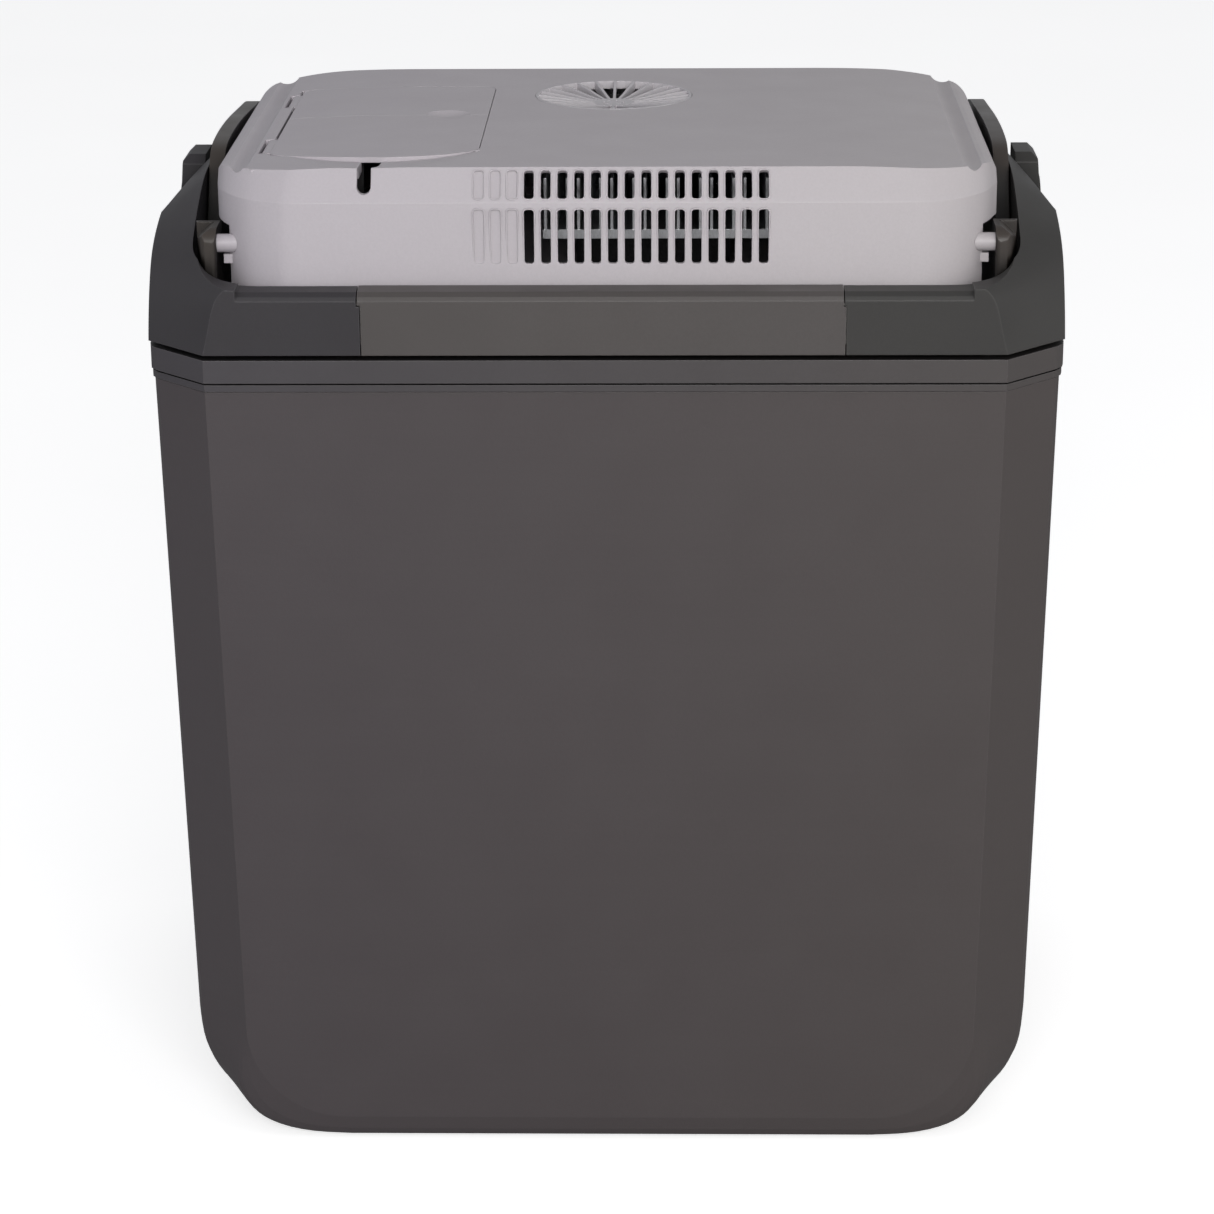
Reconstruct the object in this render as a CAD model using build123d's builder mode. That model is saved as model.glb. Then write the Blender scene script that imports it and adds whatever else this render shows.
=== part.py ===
from build123d import *
import os
from math import cos, radians, sin

# Portable thermoelectric cooler box, top-mounted cooling unit, folding carry handle.
# Millimetres.  Origin: centre of the footprint on the floor, +Z up, -Y the front, where the
# folded handle lies, +X to the right of a person facing the front.
# Suffixes: HX and HY are half sizes along X and Y, R a radius, Z0 and Z1 bottom and top.

os.makedirs("parts", exist_ok=True)

# ================================================================ DRIVING DIMENSIONS
BODY_TOP = 362.3                # top edge of the outer shell
WALL = 2.6                      # shell wall
BODY_HX_TOP, BODY_HX_BOT = 199.1, 193.35    # at the top and just above the floor curve
CURVE_Z = 57.0                  # where the sides turn into the floor curve
FACE_Y_TOP, FACE_Y_BOT = 144.0, 138.0       # front and rear face planes
FLOOR_Z = 0.9                   # underside of the shell, the feet reach Z = 0

RIM_HX, RIM_HY = 200.2, 146.0
CREASE_X = 173.0                # where the flat front turns into the corner facet
RIM_Z0, RIM_Z1 = 366.6, 376.8

OPEN_HX = 153.0                 # mouth of the food compartment
OPEN_Y0, OPEN_Y1 = -106.0, 116.0
OPEN_DEPTH = OPEN_Y1 - OPEN_Y0
OPEN_CENTRE = (0, (OPEN_Y0 + OPEN_Y1) / 2)
OPEN_CORNER_R = 22.2
LINER_T = 1.8
LINER_TOP = 374.2
CAVITY_FLOOR = 30.0

HINGE = HINGE_Y, HINGE_Z = -110.0, 420.5    # lid hinge axis, along X
HINGE_HOLE_R = 4.05
ROLL_R = 43.2                   # every lid point ahead of the hinge stays inside this radius

PIVOT_Z = 412.0
PIVOT = (0, PIVOT_Z)            # handle pivot axis (y, z), along X
ARM_IN, ARM_OUT = 181.0, 200.2
BAND_Z0, BAND_Z1 = 379.0, 407.2
BAND_Y0, BAND_Y1 = -146.0, -134.2
SEAM_L, SEAM_R = -104.5, 103.5  # joints between grip and arms

LID_HX, LID_HY = 171.8, 130.2
LID_CORNER = (40.0, 52.0)       # half axes of the elliptical plan corners
LID_LOW_HX = 164.0
LID_OVERHANG_Z = 428.0
LID_COVER_Z0 = 392.0
LID_BASE_Z0 = 378.6
LID_BASE_Z1 = 391.8
LID_TOP = 455.9
LID_WALL = 2.5

VENT_PITCH, VENT_W, VENT_N, VENT_BLIND = 7.2, 4.2, 18, 3
VENT_X0 = -53.9

FAN = FAN_X, FAN_Y = 1.0, 49.0  # warm-side fan and grille axis
GRILLE_R = 37.2
STACK = STACK_X, STACK_Y = 20.0, 0.0        # thermoelectric stack axis
BOLT_PITCH = 54.0               # clamp bolts of the stack
FAN_PITCH = 71.5                # fixing holes of both fans
GUARD_PITCH = 98.0              # screws of the cold-air guard

DOOR_PIN = DOOR_PIN_X, DOOR_PIN_Z = -150.7, 451.6   # cable-door hinge axis, along Y

CUT = Mode.SUBTRACT
COMMON = Mode.INTERSECT
SIDES = (-1, 1)                 # left, right


# ================================================================ SHARED HELPERS
def at_x(x):
    """Plane across X, its normal along +X; sketch axes are Y and Z."""
    return Plane.YZ.offset(x)


def at_y(y):
    """Plane across Y, its normal along -Y; sketch axes are X and Z."""
    return Plane.XZ.offset(-y)


def at_z(z):
    """Level plane, its normal up; sketch axes are X and Y."""
    return Plane.XY.offset(z)


def save(name, builder):
    """Label a finished piece and write its file."""
    builder.part.label = name
    export_step(builder.part, f"parts/{name}.step")


def four_circles(centre, pitch, radius, mode=Mode.ADD):
    """Circles at the corners of a square, drawn in the current sketch."""
    with Locations(centre), GridLocations(pitch, pitch, 2, 2):
        Circle(radius, mode=mode)


# ================================================================ CABINET
SECTION_TOP = BODY_TOP + 6      # sections run past the top edge and are trimmed
ARC_X, ARC_R = 122.4, 45.0      # rounded lower corner of the flat front panel
ARC_STEP = 11.25                # degrees between outline points along the floor curve

# Right half of the box seen from the front, top edge down to the floor: (x, z)
SILHOUETTE = [
    (BODY_HX_TOP, SECTION_TOP), (BODY_HX_BOT, CURVE_Z), (192.6, 47.0), (190.7, 37.0),
    (185.6, 26.6), (177.4, 17.2), (167.0, 9.9), (154.5, 5.0), (139.0, 2.0), (121.0, FLOOR_Z)]
PANEL = [(CREASE_X, SECTION_TOP)] + [
    (ARC_X + ARC_R * cos(radians(ARC_STEP * k)), CURVE_Z - ARC_R * sin(radians(ARC_STEP * k)))
    for k in range(9)]
# how far each outline point follows the side facet (0) or the foot facet (1)
FOOT_SHARE = [0.0, 0.0, 0.06, 0.20, 0.42, 0.64, 0.83, 0.95, 1.0, 1.0]

# Loft stations from an end face inwards: (depth, side share, foot share).
# A share of 1 is the flat panel, 0 the full silhouette.
END_STATIONS = [
    (0.0, 1.0, 1.0), (1.1, 0.957, 0.42), (2.4, 0.907, 0.15), (4.4, 0.829, 0.03),
    (8.0, 0.69, 0.0), (23.4, 0.092, 0.0), (27.5, 0.027, 0.0), (33.0, 0.0, 0.0)]


def box_outline(side_share, foot_share, inset):
    """Right half of one box section, every wall moved in by inset."""
    points = []
    for i, (full, panel) in enumerate(zip(SILHOUETTE, PANEL)):
        share = side_share + (foot_share - side_share) * FOOT_SHARE[i]
        x = full[0] + (panel[0] - full[0]) * share
        z = full[1] + (panel[1] - full[1]) * share
        normal = radians(-ARC_STEP * max(i - 1, 0))
        points.append((x - inset * cos(normal), z - inset * sin(normal)))
    return points


def draw_box_section(right):
    """Closed outline from its right half, drawn in the current BuildLine."""
    left = [(-x, z) for x, z in right]
    Line(left[0], right[0])
    Line(right[0], right[1])
    Spline(*right[1:])
    Line(right[-1], left[-1])
    Spline(*reversed(left[1:]))
    Line(left[1], left[0])


def box_form(inset):
    """Solid box with sloping faces and faceted corners, every wall moved in by inset."""
    tilt = (FACE_Y_TOP - FACE_Y_BOT) / BODY_TOP
    with BuildPart() as form:
        for end, stations in ((-1, END_STATIONS), (1, END_STATIONS[::-1])):
            for depth, side_share, foot_share in stations:
                y = end * (FACE_Y_BOT - inset - depth)
                plane = Plane(origin=(0, y, 0), x_dir=(1, 0, 0), z_dir=(0, -1, end * tilt))
                with BuildSketch(plane):
                    with BuildLine():
                        draw_box_section(box_outline(side_share, foot_share, inset))
                    make_face()
        loft(ruled=True)
    return form.part


def tub_form(grow):
    """Inner form of the food compartment, grown by grow on the sides and the floor."""
    with BuildPart() as form:
        with BuildSketch(at_z(CAVITY_FLOOR - grow)), Locations((0, 4)):
            RectangleRounded(2 * (146.0 + grow), 215.0 + 2 * grow, 18.2 + grow)
        with BuildSketch(at_z(LINER_TOP)), Locations(OPEN_CENTRE):
            RectangleRounded(2 * (OPEN_HX + grow), OPEN_DEPTH + 2 * grow, OPEN_CORNER_R + grow)
        loft()
    return form.part


def octagon(half_x, half_y, crease):
    """Plan outline with a facet at each corner, crisp at the face and eased at the side."""
    facet = half_x - crease
    quarter = [(crease, -half_y), (half_x - 0.13 * facet, -half_y + 0.86 * facet),
               (half_x - 0.03 * facet, -half_y + 1.02 * facet), (half_x, -half_y + 1.2 * facet)]
    half = quarter + [(x, -y) for x, y in reversed(quarter)]
    return half + [(-x, y) for x, y in reversed(half)]


# ---- outer shell, with recesses for the feet
FOOT_PITCH = (170, 180)
FOOT_R = 12.0
shell_solid = box_form(0)
shell_void = box_form(WALL)
with BuildPart() as outer_shell:
    add(shell_solid)
    with BuildSketch(at_z(BODY_TOP)):
        Rectangle(500, 500)
    extrude(amount=30, mode=CUT)
    add(shell_void, mode=CUT)
    with BuildSketch(at_z(FLOOR_Z - 0.5)), GridLocations(*FOOT_PITCH, 2, 2):
        Circle(FOOT_R + 0.2)
    extrude(amount=1.5, mode=CUT)
save("outer_shell", outer_shell)

# ---- moulded tub of the food compartment
FLANGE_T = 2.2
tub_outside = tub_form(LINER_T)
tub_inside = tub_form(0)
with BuildPart() as inner_liner:
    add(tub_outside)
    with BuildSketch(at_z(LINER_TOP - FLANGE_T)), Locations(OPEN_CENTRE):   # under the collar
        RectangleRounded(2 * (OPEN_HX + 15), OPEN_DEPTH + 30, 34)
    extrude(amount=FLANGE_T)
    add(tub_inside, mode=CUT)
    fillet(inner_liner.faces().filter_by(Plane.XY).sort_by(Axis.Z)[1].edges(), 9)
save("inner_liner", inner_liner)

# ---- poured insulation between tub and shell
shell_fill = box_form(WALL + 0.3)
tub_clearance = tub_form(LINER_T + 0.4)
with BuildPart() as foam_core:
    add(shell_fill)
    with BuildSketch(at_z(349.5)):              # stops under the collar's locating lip
        Rectangle(500, 500)
    extrude(amount=40, mode=CUT)
    with BuildSketch(at_z(349.0)), Locations(OPEN_CENTRE):
        RectangleRounded(2 * 172, OPEN_DEPTH + 36, 34)
    extrude(amount=22.6)
    add(tub_clearance, mode=CUT)
save("foam_core", foam_core)

# ---- rim collar
GROOVE_Z0 = 365.7               # shadow groove under the outer band
STEP_Z0 = 362.7
LIP_Z0 = 352.0
# (bottom, top, half x, half y, crease x)
COLLAR_RINGS = [
    (RIM_Z0, RIM_Z1, RIM_HX, RIM_HY, CREASE_X),                             # outer band
    (GROOVE_Z0, RIM_Z0, RIM_HX - 3.4, RIM_HY - 3.4, CREASE_X - 1.5),        # shadow groove
    (STEP_Z0, GROOVE_Z0, RIM_HX - 0.5, RIM_HY - 0.8, CREASE_X - 0.2),       # step
    (LIP_Z0, 363.2, 195.2, 140.0, 169.4)]                                   # lip in the shell
CHEEK_SCREW_X = 177.0
CHEEK_SCREW_Y = (-60.0, 70.0)
CHEEK_SCREWS = [(side * CHEEK_SCREW_X, y) for side in SIDES for y in CHEEK_SCREW_Y]

with BuildPart() as rim_collar:
    for z0, z1, half_x, half_y, crease in COLLAR_RINGS:
        with BuildSketch(at_z(z0)):
            Polygon(*octagon(half_x, half_y, crease), align=None)
        extrude(amount=z1 - z0)
    with BuildSketch(at_z(LIP_Z0 - 1)):         # open underside
        Polygon(*octagon(193.0, 137.8, 168.4), align=None)
    extrude(amount=374.3 - (LIP_Z0 - 1), mode=CUT)
    with BuildSketch(at_z(374.0)), Locations(OPEN_CENTRE):
        RectangleRounded(2 * OPEN_HX, OPEN_DEPTH, OPEN_CORNER_R)
    extrude(amount=6, mode=CUT)
    with BuildSketch(at_z(373.0)), Locations(*CHEEK_SCREWS):
        Circle(2.1)
    extrude(amount=6, mode=CUT)
save("rim_collar", rim_collar)

# ---- side cheek: fixed wall between lid and handle arm, the hinge post at its front end
CHEEK_Z0 = RIM_Z1 + 0.05
POST_IN = -169.2                # inner face of the hinge post
POST_R = 7.2                    # radius of the post's top round the hinge axis
CHEEK_CREST = [                 # top edge of the wall, front to rear: (y, z)
    (-98.5, 402.0), (-84.0, 404.5), (-70.0, 409.5), (-59.0, 418.0), (-51.0, 429.0),
    (-45.0, 439.0), (-38.0, 446.0), (-24.0, 449.3), (0.0, 450.0), (36.0, 448.8),
    (80.0, 445.8), (108.0, 442.4), (119.0, 437.6), (124.0, 428.0)]
POST_CURVE = [                  # outer side of the post in plan: (x, y)
    (-179.2, -101.0), (-178.0, -106.0), (-176.9, -111.0), (-175.9, -114.6), (-174.2, -116.9)]

with BuildPart() as side_cheek_left:
    with BuildSketch(at_x(-180.4)):
        with BuildLine():
            Line((-98.5, CHEEK_Z0), CHEEK_CREST[0])
            Spline(*CHEEK_CREST)
            Line(CHEEK_CREST[-1], (125.0, CHEEK_Z0))
            Line((125.0, CHEEK_Z0), (-98.5, CHEEK_Z0))
        make_face()
    extrude(amount=6.8)
    with BuildSketch(at_z(CHEEK_Z0)):
        with BuildLine():
            Polyline((POST_IN, -97.0), (-179.9, -97.0), POST_CURVE[0])
            Spline(*POST_CURVE)
            Polyline(POST_CURVE[-1], (-171.0, -117.1), (-169.9, -116.8), (POST_IN, -115.8),
                     (POST_IN, -97.0))
        make_face()
    extrude(amount=429.0 - RIM_Z1)
    with BuildSketch(at_x(-190)):               # rounded top of the post
        with BuildLine():
            Polyline((-120.0, 434.0), (-120.0, HINGE_Z), (HINGE_Y - POST_R, HINGE_Z))
            ThreePointArc((HINGE_Y - POST_R, HINGE_Z),
                          (HINGE_Y - POST_R * sin(radians(45)),
                           HINGE_Z + POST_R * cos(radians(45))),
                          (HINGE_Y, HINGE_Z + POST_R))
            Polyline((HINGE_Y, HINGE_Z + POST_R), (-97.0, HINGE_Z + POST_R), (-97.0, 434.0),
                     (-120.0, 434.0))
        make_face()
    extrude(amount=25, mode=CUT)
    with BuildSketch(at_y(-121.0)):             # the post's top falls away outwards
        with BuildLine():
            Polyline((-190.0, 432.0), (-190.0, 414.0), (-181.0, 416.0))
            ThreePointArc((-181.0, 416.0), (-176.8, 423.6), (-170.5, 428.2))
            Polyline((-170.5, 428.2), (-170.5, 432.0), (-190.0, 432.0))
        make_face()
    extrude(amount=-21.0, mode=CUT)
    with BuildSketch(at_x(-174.0)), Locations(HINGE):       # socket for the lid pin
        Circle(HINGE_HOLE_R)
    extrude(amount=8, mode=CUT)
    with BuildSketch(at_x(-190)), Locations(PIVOT):         # handle pivot bore
        Circle(4.02)
    extrude(amount=30, mode=CUT)
    with BuildSketch(at_z(RIM_Z1 - 2)):                     # holes for the screws from below
        with Locations(*[(-CHEEK_SCREW_X, y) for y in CHEEK_SCREW_Y]):
            Circle(1.85)
    extrude(amount=15.5, mode=CUT)
save("side_cheek_left", side_cheek_left)

with BuildPart() as side_cheek_right:
    mirror(side_cheek_left.part, about=Plane.YZ)
save("side_cheek_right", side_cheek_right)

CHEEK_HEAD_Z0 = 371.9
with BuildPart() as cheek_screws:
    for z, radius, length in ((CHEEK_HEAD_Z0, 3.4, 2.3), (LINER_TOP, 1.8, 13.5)):
        with BuildSketch(at_z(z)), Locations(*CHEEK_SCREWS):
            Circle(radius)
        extrude(amount=length)
    with BuildSketch(at_z(CHEEK_HEAD_Z0)), Locations(*CHEEK_SCREWS):
        RegularPolygon(1.4, 6)
    extrude(amount=1.2, mode=CUT)
save("cheek_screws", cheek_screws)

with BuildPart() as feet:
    with BuildSketch(Plane.XY), GridLocations(*FOOT_PITCH, 2, 2):
        Circle(FOOT_R)
    extrude(amount=FLOOR_Z + 0.95)
    chamfer(feet.edges().filter_by(GeomType.CIRCLE).group_by(Axis.Z)[0], 0.5)
save("feet", feet)

# ---- shoulder screws the handle turns on
with BuildPart() as pivot_screws:
    for side in SIDES:
        for x, radius, length in ((193.0, 6.6, 3.0), (173.9, 4.0, 19.1)):   # head, shoulder
            with BuildSketch(at_x(side * x)), Locations(PIVOT):
                Circle(radius)
            extrude(amount=side * length)
        with BuildSketch(at_x(side * 196.0)), Locations(PIVOT):
            RegularPolygon(2.4, 6)
        extrude(amount=side * -2.0, mode=CUT)
save("pivot_screws", pivot_screws)

# ================================================================ HANDLE
CORNER_R = 33.0                 # inner corner between band and arm
ARM_REAR_R = 33.0               # rear end of the arm round the pivot
HUB_X = -198.4                  # outer face of the left hub
BAR_CENTRE = (-139.6, 392.0)    # core bar (y, z)
BAR_Y, BAR_Z = 6.0, 18.0        # section of the core bar
BAR_GAP = 0.4
GRIP_SCREWS = [(-87, 392.0), (87, 392.0)]

# Side view of the arm's sloping front face, at the inner and at the outer side: (y, z)
EDGE_IN = [
    (-138.0, 379.0), (-133.5, 394.0), (-127.0, 406.0), (-115.5, 413.5), (-104.0, 419.0),
    (-92.0, 426.0), (-76.0, 433.0), (-57.0, 438.8), (-35.0, 441.0), (-12.0, 441.5),
    (12.0, 440.0), (30.0, 437.0)]
EDGE_OUT = [
    (-119.0, 379.0), (-113.0, 394.0), (-105.0, 406.0), (-96.5, 413.5), (-84.5, 419.0),
    (-70.0, 423.0), (-56.0, 425.5), (-42.0, 427.0), (-28.0, 427.5), (-12.0, 427.0),
    (6.0, 425.0), (22.0, 422.0)]
EDGE_SPAN = 19.0                # distance along X between the two edges

# Inner edge of the left arm seen from the front, from the band up: (x, z)
ARM_SWOOP = [
    (-100.0, BAND_Z1), (-150.0, BAND_Z1 + 0.1), (-161.0, 407.9), (-169.0, 409.0),
    (-174.6, 411.6), (-177.6, 415.2), (-179.6, 421.0), (-180.6, 430.0), (-180.9, 446.0)]


def edge_at(x):
    """Sloping edge of the arm at a distance x from the middle."""
    t = (x - ARM_IN) / EDGE_SPAN
    return [Vector(a[0] + (b[0] - a[0]) * t, a[1] + (b[1] - a[1]) * t)
            for a, b in zip(EDGE_IN, EDGE_OUT)]


def arm_plan():
    """Plan of the left half of the handle: square outside, round corner inside."""
    x = -ARM_IN + CORNER_R
    y = BAND_Y1 + CORNER_R
    Polyline((-99.0, BAND_Y1), (-99.0, BAND_Y0 - 2), (-ARM_OUT, BAND_Y0 - 2), (-ARM_OUT, 40),
             (-ARM_IN, 40), (-ARM_IN, y))
    ThreePointArc((-ARM_IN, y),
                  (x - CORNER_R * cos(radians(45)), y - CORNER_R * sin(radians(45))),
                  (x, BAND_Y1))
    Line((x, BAND_Y1), (-99.0, BAND_Y1))


def band_profile(bottom, inner_y):
    """Section of the band, its outer top edge eased, drawn in the current sketch."""
    Polygon((BAND_Y0, bottom), (BAND_Y0, 402.8), (BAND_Y0 + 1.0, 404.6), (BAND_Y0 + 3.4, 406.3),
            (inner_y, BAND_Z1), (inner_y, bottom), align=None)


def bar_section(gap):
    """Section of the core bar or its channel, drawn in the current sketch."""
    with Locations(BAR_CENTRE):
        Rectangle(BAR_Y + gap, BAR_Z + gap)


def seam_cut(lower_x, upper_x, end_x, step_z=400.6):
    """Front view of what a stepped seam takes off an arm, drawn in the current sketch."""
    Polygon((lower_x, 370), (lower_x, step_z), (upper_x, step_z), (upper_x, 420),
            (end_x, 420), (end_x, 370), align=None)


with BuildPart() as arm_left:
    for x in (158.0, 203.0):
        with BuildSketch(at_x(-x)):
            with BuildLine():
                edge = edge_at(x)
                steps = [i / (len(edge) - 1) for i in range(len(edge))]
                add(Edge.make_spline(edge, parameters=steps))
                Polyline((edge[-1].X, edge[-1].Y), (60.0, edge[-1].Y), (60.0, BAND_Z0),
                         (edge[0].X, edge[0].Y))
            make_face()
    loft(ruled=True)
    with BuildSketch(at_x(-162.0)):             # straight band out to the seam
        band_profile(BAND_Z0, BAND_Y1 + 4)
    extrude(amount=63.0)
    with BuildSketch(at_y(-200)):               # inner edge of the arm swoops up
        with BuildLine():
            Spline(*ARM_SWOOP)
            Polyline(ARM_SWOOP[-1], (-210.0, 446.0), (-210.0, 370.0), (-100.0, 370.0),
                     ARM_SWOOP[0])
        make_face()
    extrude(amount=-300, mode=COMMON)
    with BuildSketch(at_x(-210)):               # front face plane, rear end round the pivot
        with BuildLine():
            Line((0.0, BAND_Z0), (BAND_Y0, BAND_Z0))
            Polyline((BAND_Y0, BAND_Z0), (BAND_Y0, 450.0), (0.0, 450.0),
                     (0.0, PIVOT_Z + ARM_REAR_R))
            ThreePointArc((0.0, PIVOT_Z + ARM_REAR_R), (ARM_REAR_R, PIVOT_Z),
                          (0.0, PIVOT_Z - ARM_REAR_R))
        make_face()
    extrude(amount=120, mode=COMMON)
    with BuildSketch(at_z(370)):
        with BuildLine():
            arm_plan()
        make_face()
    extrude(amount=90, mode=COMMON)
    # behind the ridge the face falls away to a pocket
    with BuildSketch(Plane(origin=(-198.5, -57.0, 425.3), x_dir=(17.5, 45.0, 16.7),
                           z_dir=(-47.1, 7.28, 29.75))):
        with Locations((60, 0)):
            Rectangle(200, 120)
    extrude(amount=60, mode=CUT)
    with BuildSketch(at_x(HUB_X)), Locations(PIVOT):        # hub
        Circle(16)
    extrude(amount=17.4)
    with BuildSketch(at_y(-16)):                            # stop block
        Polygon((-186.0, 405.0), (-186.0, 440.3), (-193.6, 440.3), (-196.4, 437.6),
                (HUB_X, 412.0), (HUB_X, 405.0), align=None)
    extrude(amount=-26)
    with BuildSketch(at_x(-200)):               # slope on the block's upper front edge
        Polygon((-17.0, 442.0), (-17.0, 436.4), (-15.9, 436.4), (-12.0, 440.4), (-12.0, 442.0),
                align=None)
    extrude(amount=14.2, mode=CUT)
    for radius, depth in ((4.05, 30), (6.9, 12.05), (9.1, 8.8)):    # bore, counterbore, cap seat
        with BuildSketch(at_x(-205)), Locations(PIVOT):
            Circle(radius)
        extrude(amount=depth, mode=CUT)
    with BuildSketch(at_x(-132.0)):             # socket for the core bar
        bar_section(BAR_GAP)
    extrude(amount=45, mode=CUT)

# the upper part of each joint sits a little further to the left
with BuildPart() as handle_arm_left:
    add(arm_left.part)
    with BuildSketch(at_y(-200)):
        seam_cut(SEAM_L - 0.35, SEAM_L - 1.75, SEAM_L + 10)
    extrude(amount=-300, mode=CUT)
save("handle_arm_left", handle_arm_left)

with BuildPart() as handle_arm_right:
    mirror(arm_left.part, about=Plane.YZ)
    with BuildSketch(at_y(-200)):
        seam_cut(SEAM_R + 0.35, SEAM_R - 0.55, SEAM_R - 20)
    extrude(amount=-300, mode=CUT)
save("handle_arm_right", handle_arm_right)

# ---- grip between the arms: hollow outer channel, closed at the back by a strip
with BuildPart() as handle_grip:
    with BuildSketch(at_x(SEAM_L + 0.1)):
        band_profile(BAND_Z0, BAND_Y1)
    extrude(amount=SEAM_R - SEAM_L - 0.2)
    with BuildSketch(at_x(SEAM_L - 1.3)):       # step of the left seam
        band_profile(401.0, BAND_Y1)
    extrude(amount=4)
    with BuildSketch(at_x(SEAM_R - 1.0)):       # step of the right seam
        Polygon((BAND_Y0 - 1, 400.2), (BAND_Y0 - 1, 410.0), (BAND_Y1 + 1, 410.0),
                (BAND_Y1 + 1, 400.2), align=None)
    extrude(amount=3, mode=CUT)
    with BuildSketch(at_x(SEAM_L - 5)):         # channel for the core bar
        bar_section(BAR_GAP)
    extrude(amount=220, mode=CUT)
    with BuildSketch(at_x(-92.0)):              # opening at the back for the strip
        Polygon((-137.0, 383.6), (-137.0, 400.4), (BAND_Y1 + 1, 400.4), (BAND_Y1 + 1, 383.6),
                align=None)
    extrude(amount=184, mode=CUT)
save("handle_grip", handle_grip)

with BuildPart() as grip_backing:
    with BuildSketch(at_y(BAND_Y1)), Locations((0, 392.0)):
        RectangleRounded(183.2, 16.2, 2)
    extrude(amount=2.0)
    with BuildSketch(at_y(BAND_Y1)):            # finger grooves
        with Locations(*[(-80 + 10 * i, 392.0) for i in range(17)]):
            SlotOverall(10, 1.6, rotation=90)
    extrude(amount=0.6, mode=CUT)
    for radius, depth in ((1.7, 3), (3.1, 1.2)):
        with BuildSketch(at_y(BAND_Y1)), Locations(*GRIP_SCREWS):
            Circle(radius)
        extrude(amount=depth, mode=CUT)
save("grip_backing", grip_backing)

with BuildPart() as handle_core_bar:
    with BuildSketch(at_x(-128.0)):
        bar_section(0)
    extrude(amount=256.0)
    with BuildSketch(at_y(-136.0)), Locations(*GRIP_SCREWS):
        Circle(1.45)
    extrude(amount=4.6, mode=CUT)
    for end in (0, -1):
        chamfer(handle_core_bar.faces().sort_by(Axis.X)[end].edges(), 0.8)
save("handle_core_bar", handle_core_bar)

with BuildPart() as grip_screws:
    for y, radius, length in ((BAND_Y1 - 0.2, 2.8, 0.95), (BAND_Y1 - 1.0, 1.4, 4.2)):
        with BuildSketch(at_y(y)), Locations(*GRIP_SCREWS):
            Circle(radius)
        extrude(amount=length)
    with BuildSketch(at_y(BAND_Y1 - 0.2)), Locations(*GRIP_SCREWS):
        Rectangle(3.4, 0.7)
        Rectangle(0.7, 3.4)
    extrude(amount=0.6, mode=CUT)
save("grip_screws", grip_screws)

with BuildPart() as pivot_caps:
    for side in SIDES:
        with BuildSketch(at_x(side * 196.4)), Locations(PIVOT):
            Circle(9.0)
        extrude(amount=side * 2.6)
    for end in (0, -1):
        chamfer(pivot_caps.edges().filter_by(GeomType.CIRCLE).sort_by(Axis.X)[end], 0.6)
save("pivot_caps", pivot_caps)


# ================================================================ LID
def lid_plan(half_x, half_y, corner_x, corner_y):
    """Plan outline of the lid: straight sides, elliptical corners."""
    # (x sign, y sign, start tangent, end tangent), anticlockwise
    quarters = [(1, 1, (0, 1), (-1, 0)), (-1, 1, (-1, 0), (0, -1)),
                (-1, -1, (0, -1), (1, 0)), (1, -1, (1, 0), (0, 1))]
    arcs = []
    for x_sign, y_sign, start, end in quarters:
        arc = [(x_sign * (half_x - corner_x + corner_x * cos(radians(t))),
                y_sign * (half_y - corner_y + corner_y * sin(radians(t))))
               for t in range(0, 91, 15)]
        if x_sign != y_sign:
            arc.reverse()
        arcs.append(arc)
    for i, (_, _, start, end) in enumerate(quarters):
        Spline(*arcs[i], tangents=[start, end])
        Line(arcs[i][-1], arcs[(i + 1) % 4][0])


def lid_step_plan(inset_x, inset_y):
    """Lid plan at its base, moved in."""
    corner_x, corner_y = LID_CORNER
    lid_plan(LID_HX - inset_x, LID_HY - inset_y, corner_x - inset_x, corner_y - inset_x)


def keep_low_width(inset):
    """Trim the current sketch to the narrower width below the overhang."""
    Rectangle(2 * (LID_LOW_HX - inset), 300, mode=COMMON)


def crown(top, side_x):
    """Front view of the lid: flat middle, falling edges, rounded shoulders."""
    fall_r = 664.0
    flat_x = 100
    edge_x = side_x - 6.4
    edge_z = top - (edge_x - flat_x) ** 2 / (2 * fall_r)
    mid_x = (flat_x + edge_x) / 2
    mid_z = top - (mid_x - flat_x) ** 2 / (2 * fall_r)
    wall_x = side_x - 0.3
    wall_z = edge_z - 8.0
    Line((-flat_x, top), (flat_x, top))
    ThreePointArc((flat_x, top), (mid_x, mid_z), (edge_x, edge_z))
    ThreePointArc((edge_x, edge_z), (side_x - 2.1, edge_z - 2.6), (wall_x, wall_z))
    Polyline((wall_x, wall_z), (side_x, 430), (side_x, 370),
             (-side_x, 370), (-side_x, 430), (-wall_x, wall_z))
    ThreePointArc((-wall_x, wall_z), (-side_x + 2.1, edge_z - 2.6), (-edge_x, edge_z))
    ThreePointArc((-edge_x, edge_z), (-mid_x, mid_z), (-flat_x, top))


def crowned_loft(stations, top, side_x):
    """Lofts between successive lid plans, cut to the crowned front view."""
    with BuildPart() as form:
        for pair in zip(stations, stations[1:]):
            for z, *plan in pair:
                with BuildSketch(at_z(z)):
                    with BuildLine():
                        lid_plan(*plan)
                    make_face()
            loft(ruled=True)
        with BuildSketch(at_y(-150)):
            with BuildLine():
                crown(top, side_x)
            make_face()
        extrude(amount=-300, mode=COMMON)
    return form.part


LID_IN_HX = LID_HX - LID_WALL
CREASE_Z = 442.0                # where the wall turns into the bevel, all round the corners
CREASE_IN_Z = 440.6             # the same inside the cover
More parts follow.
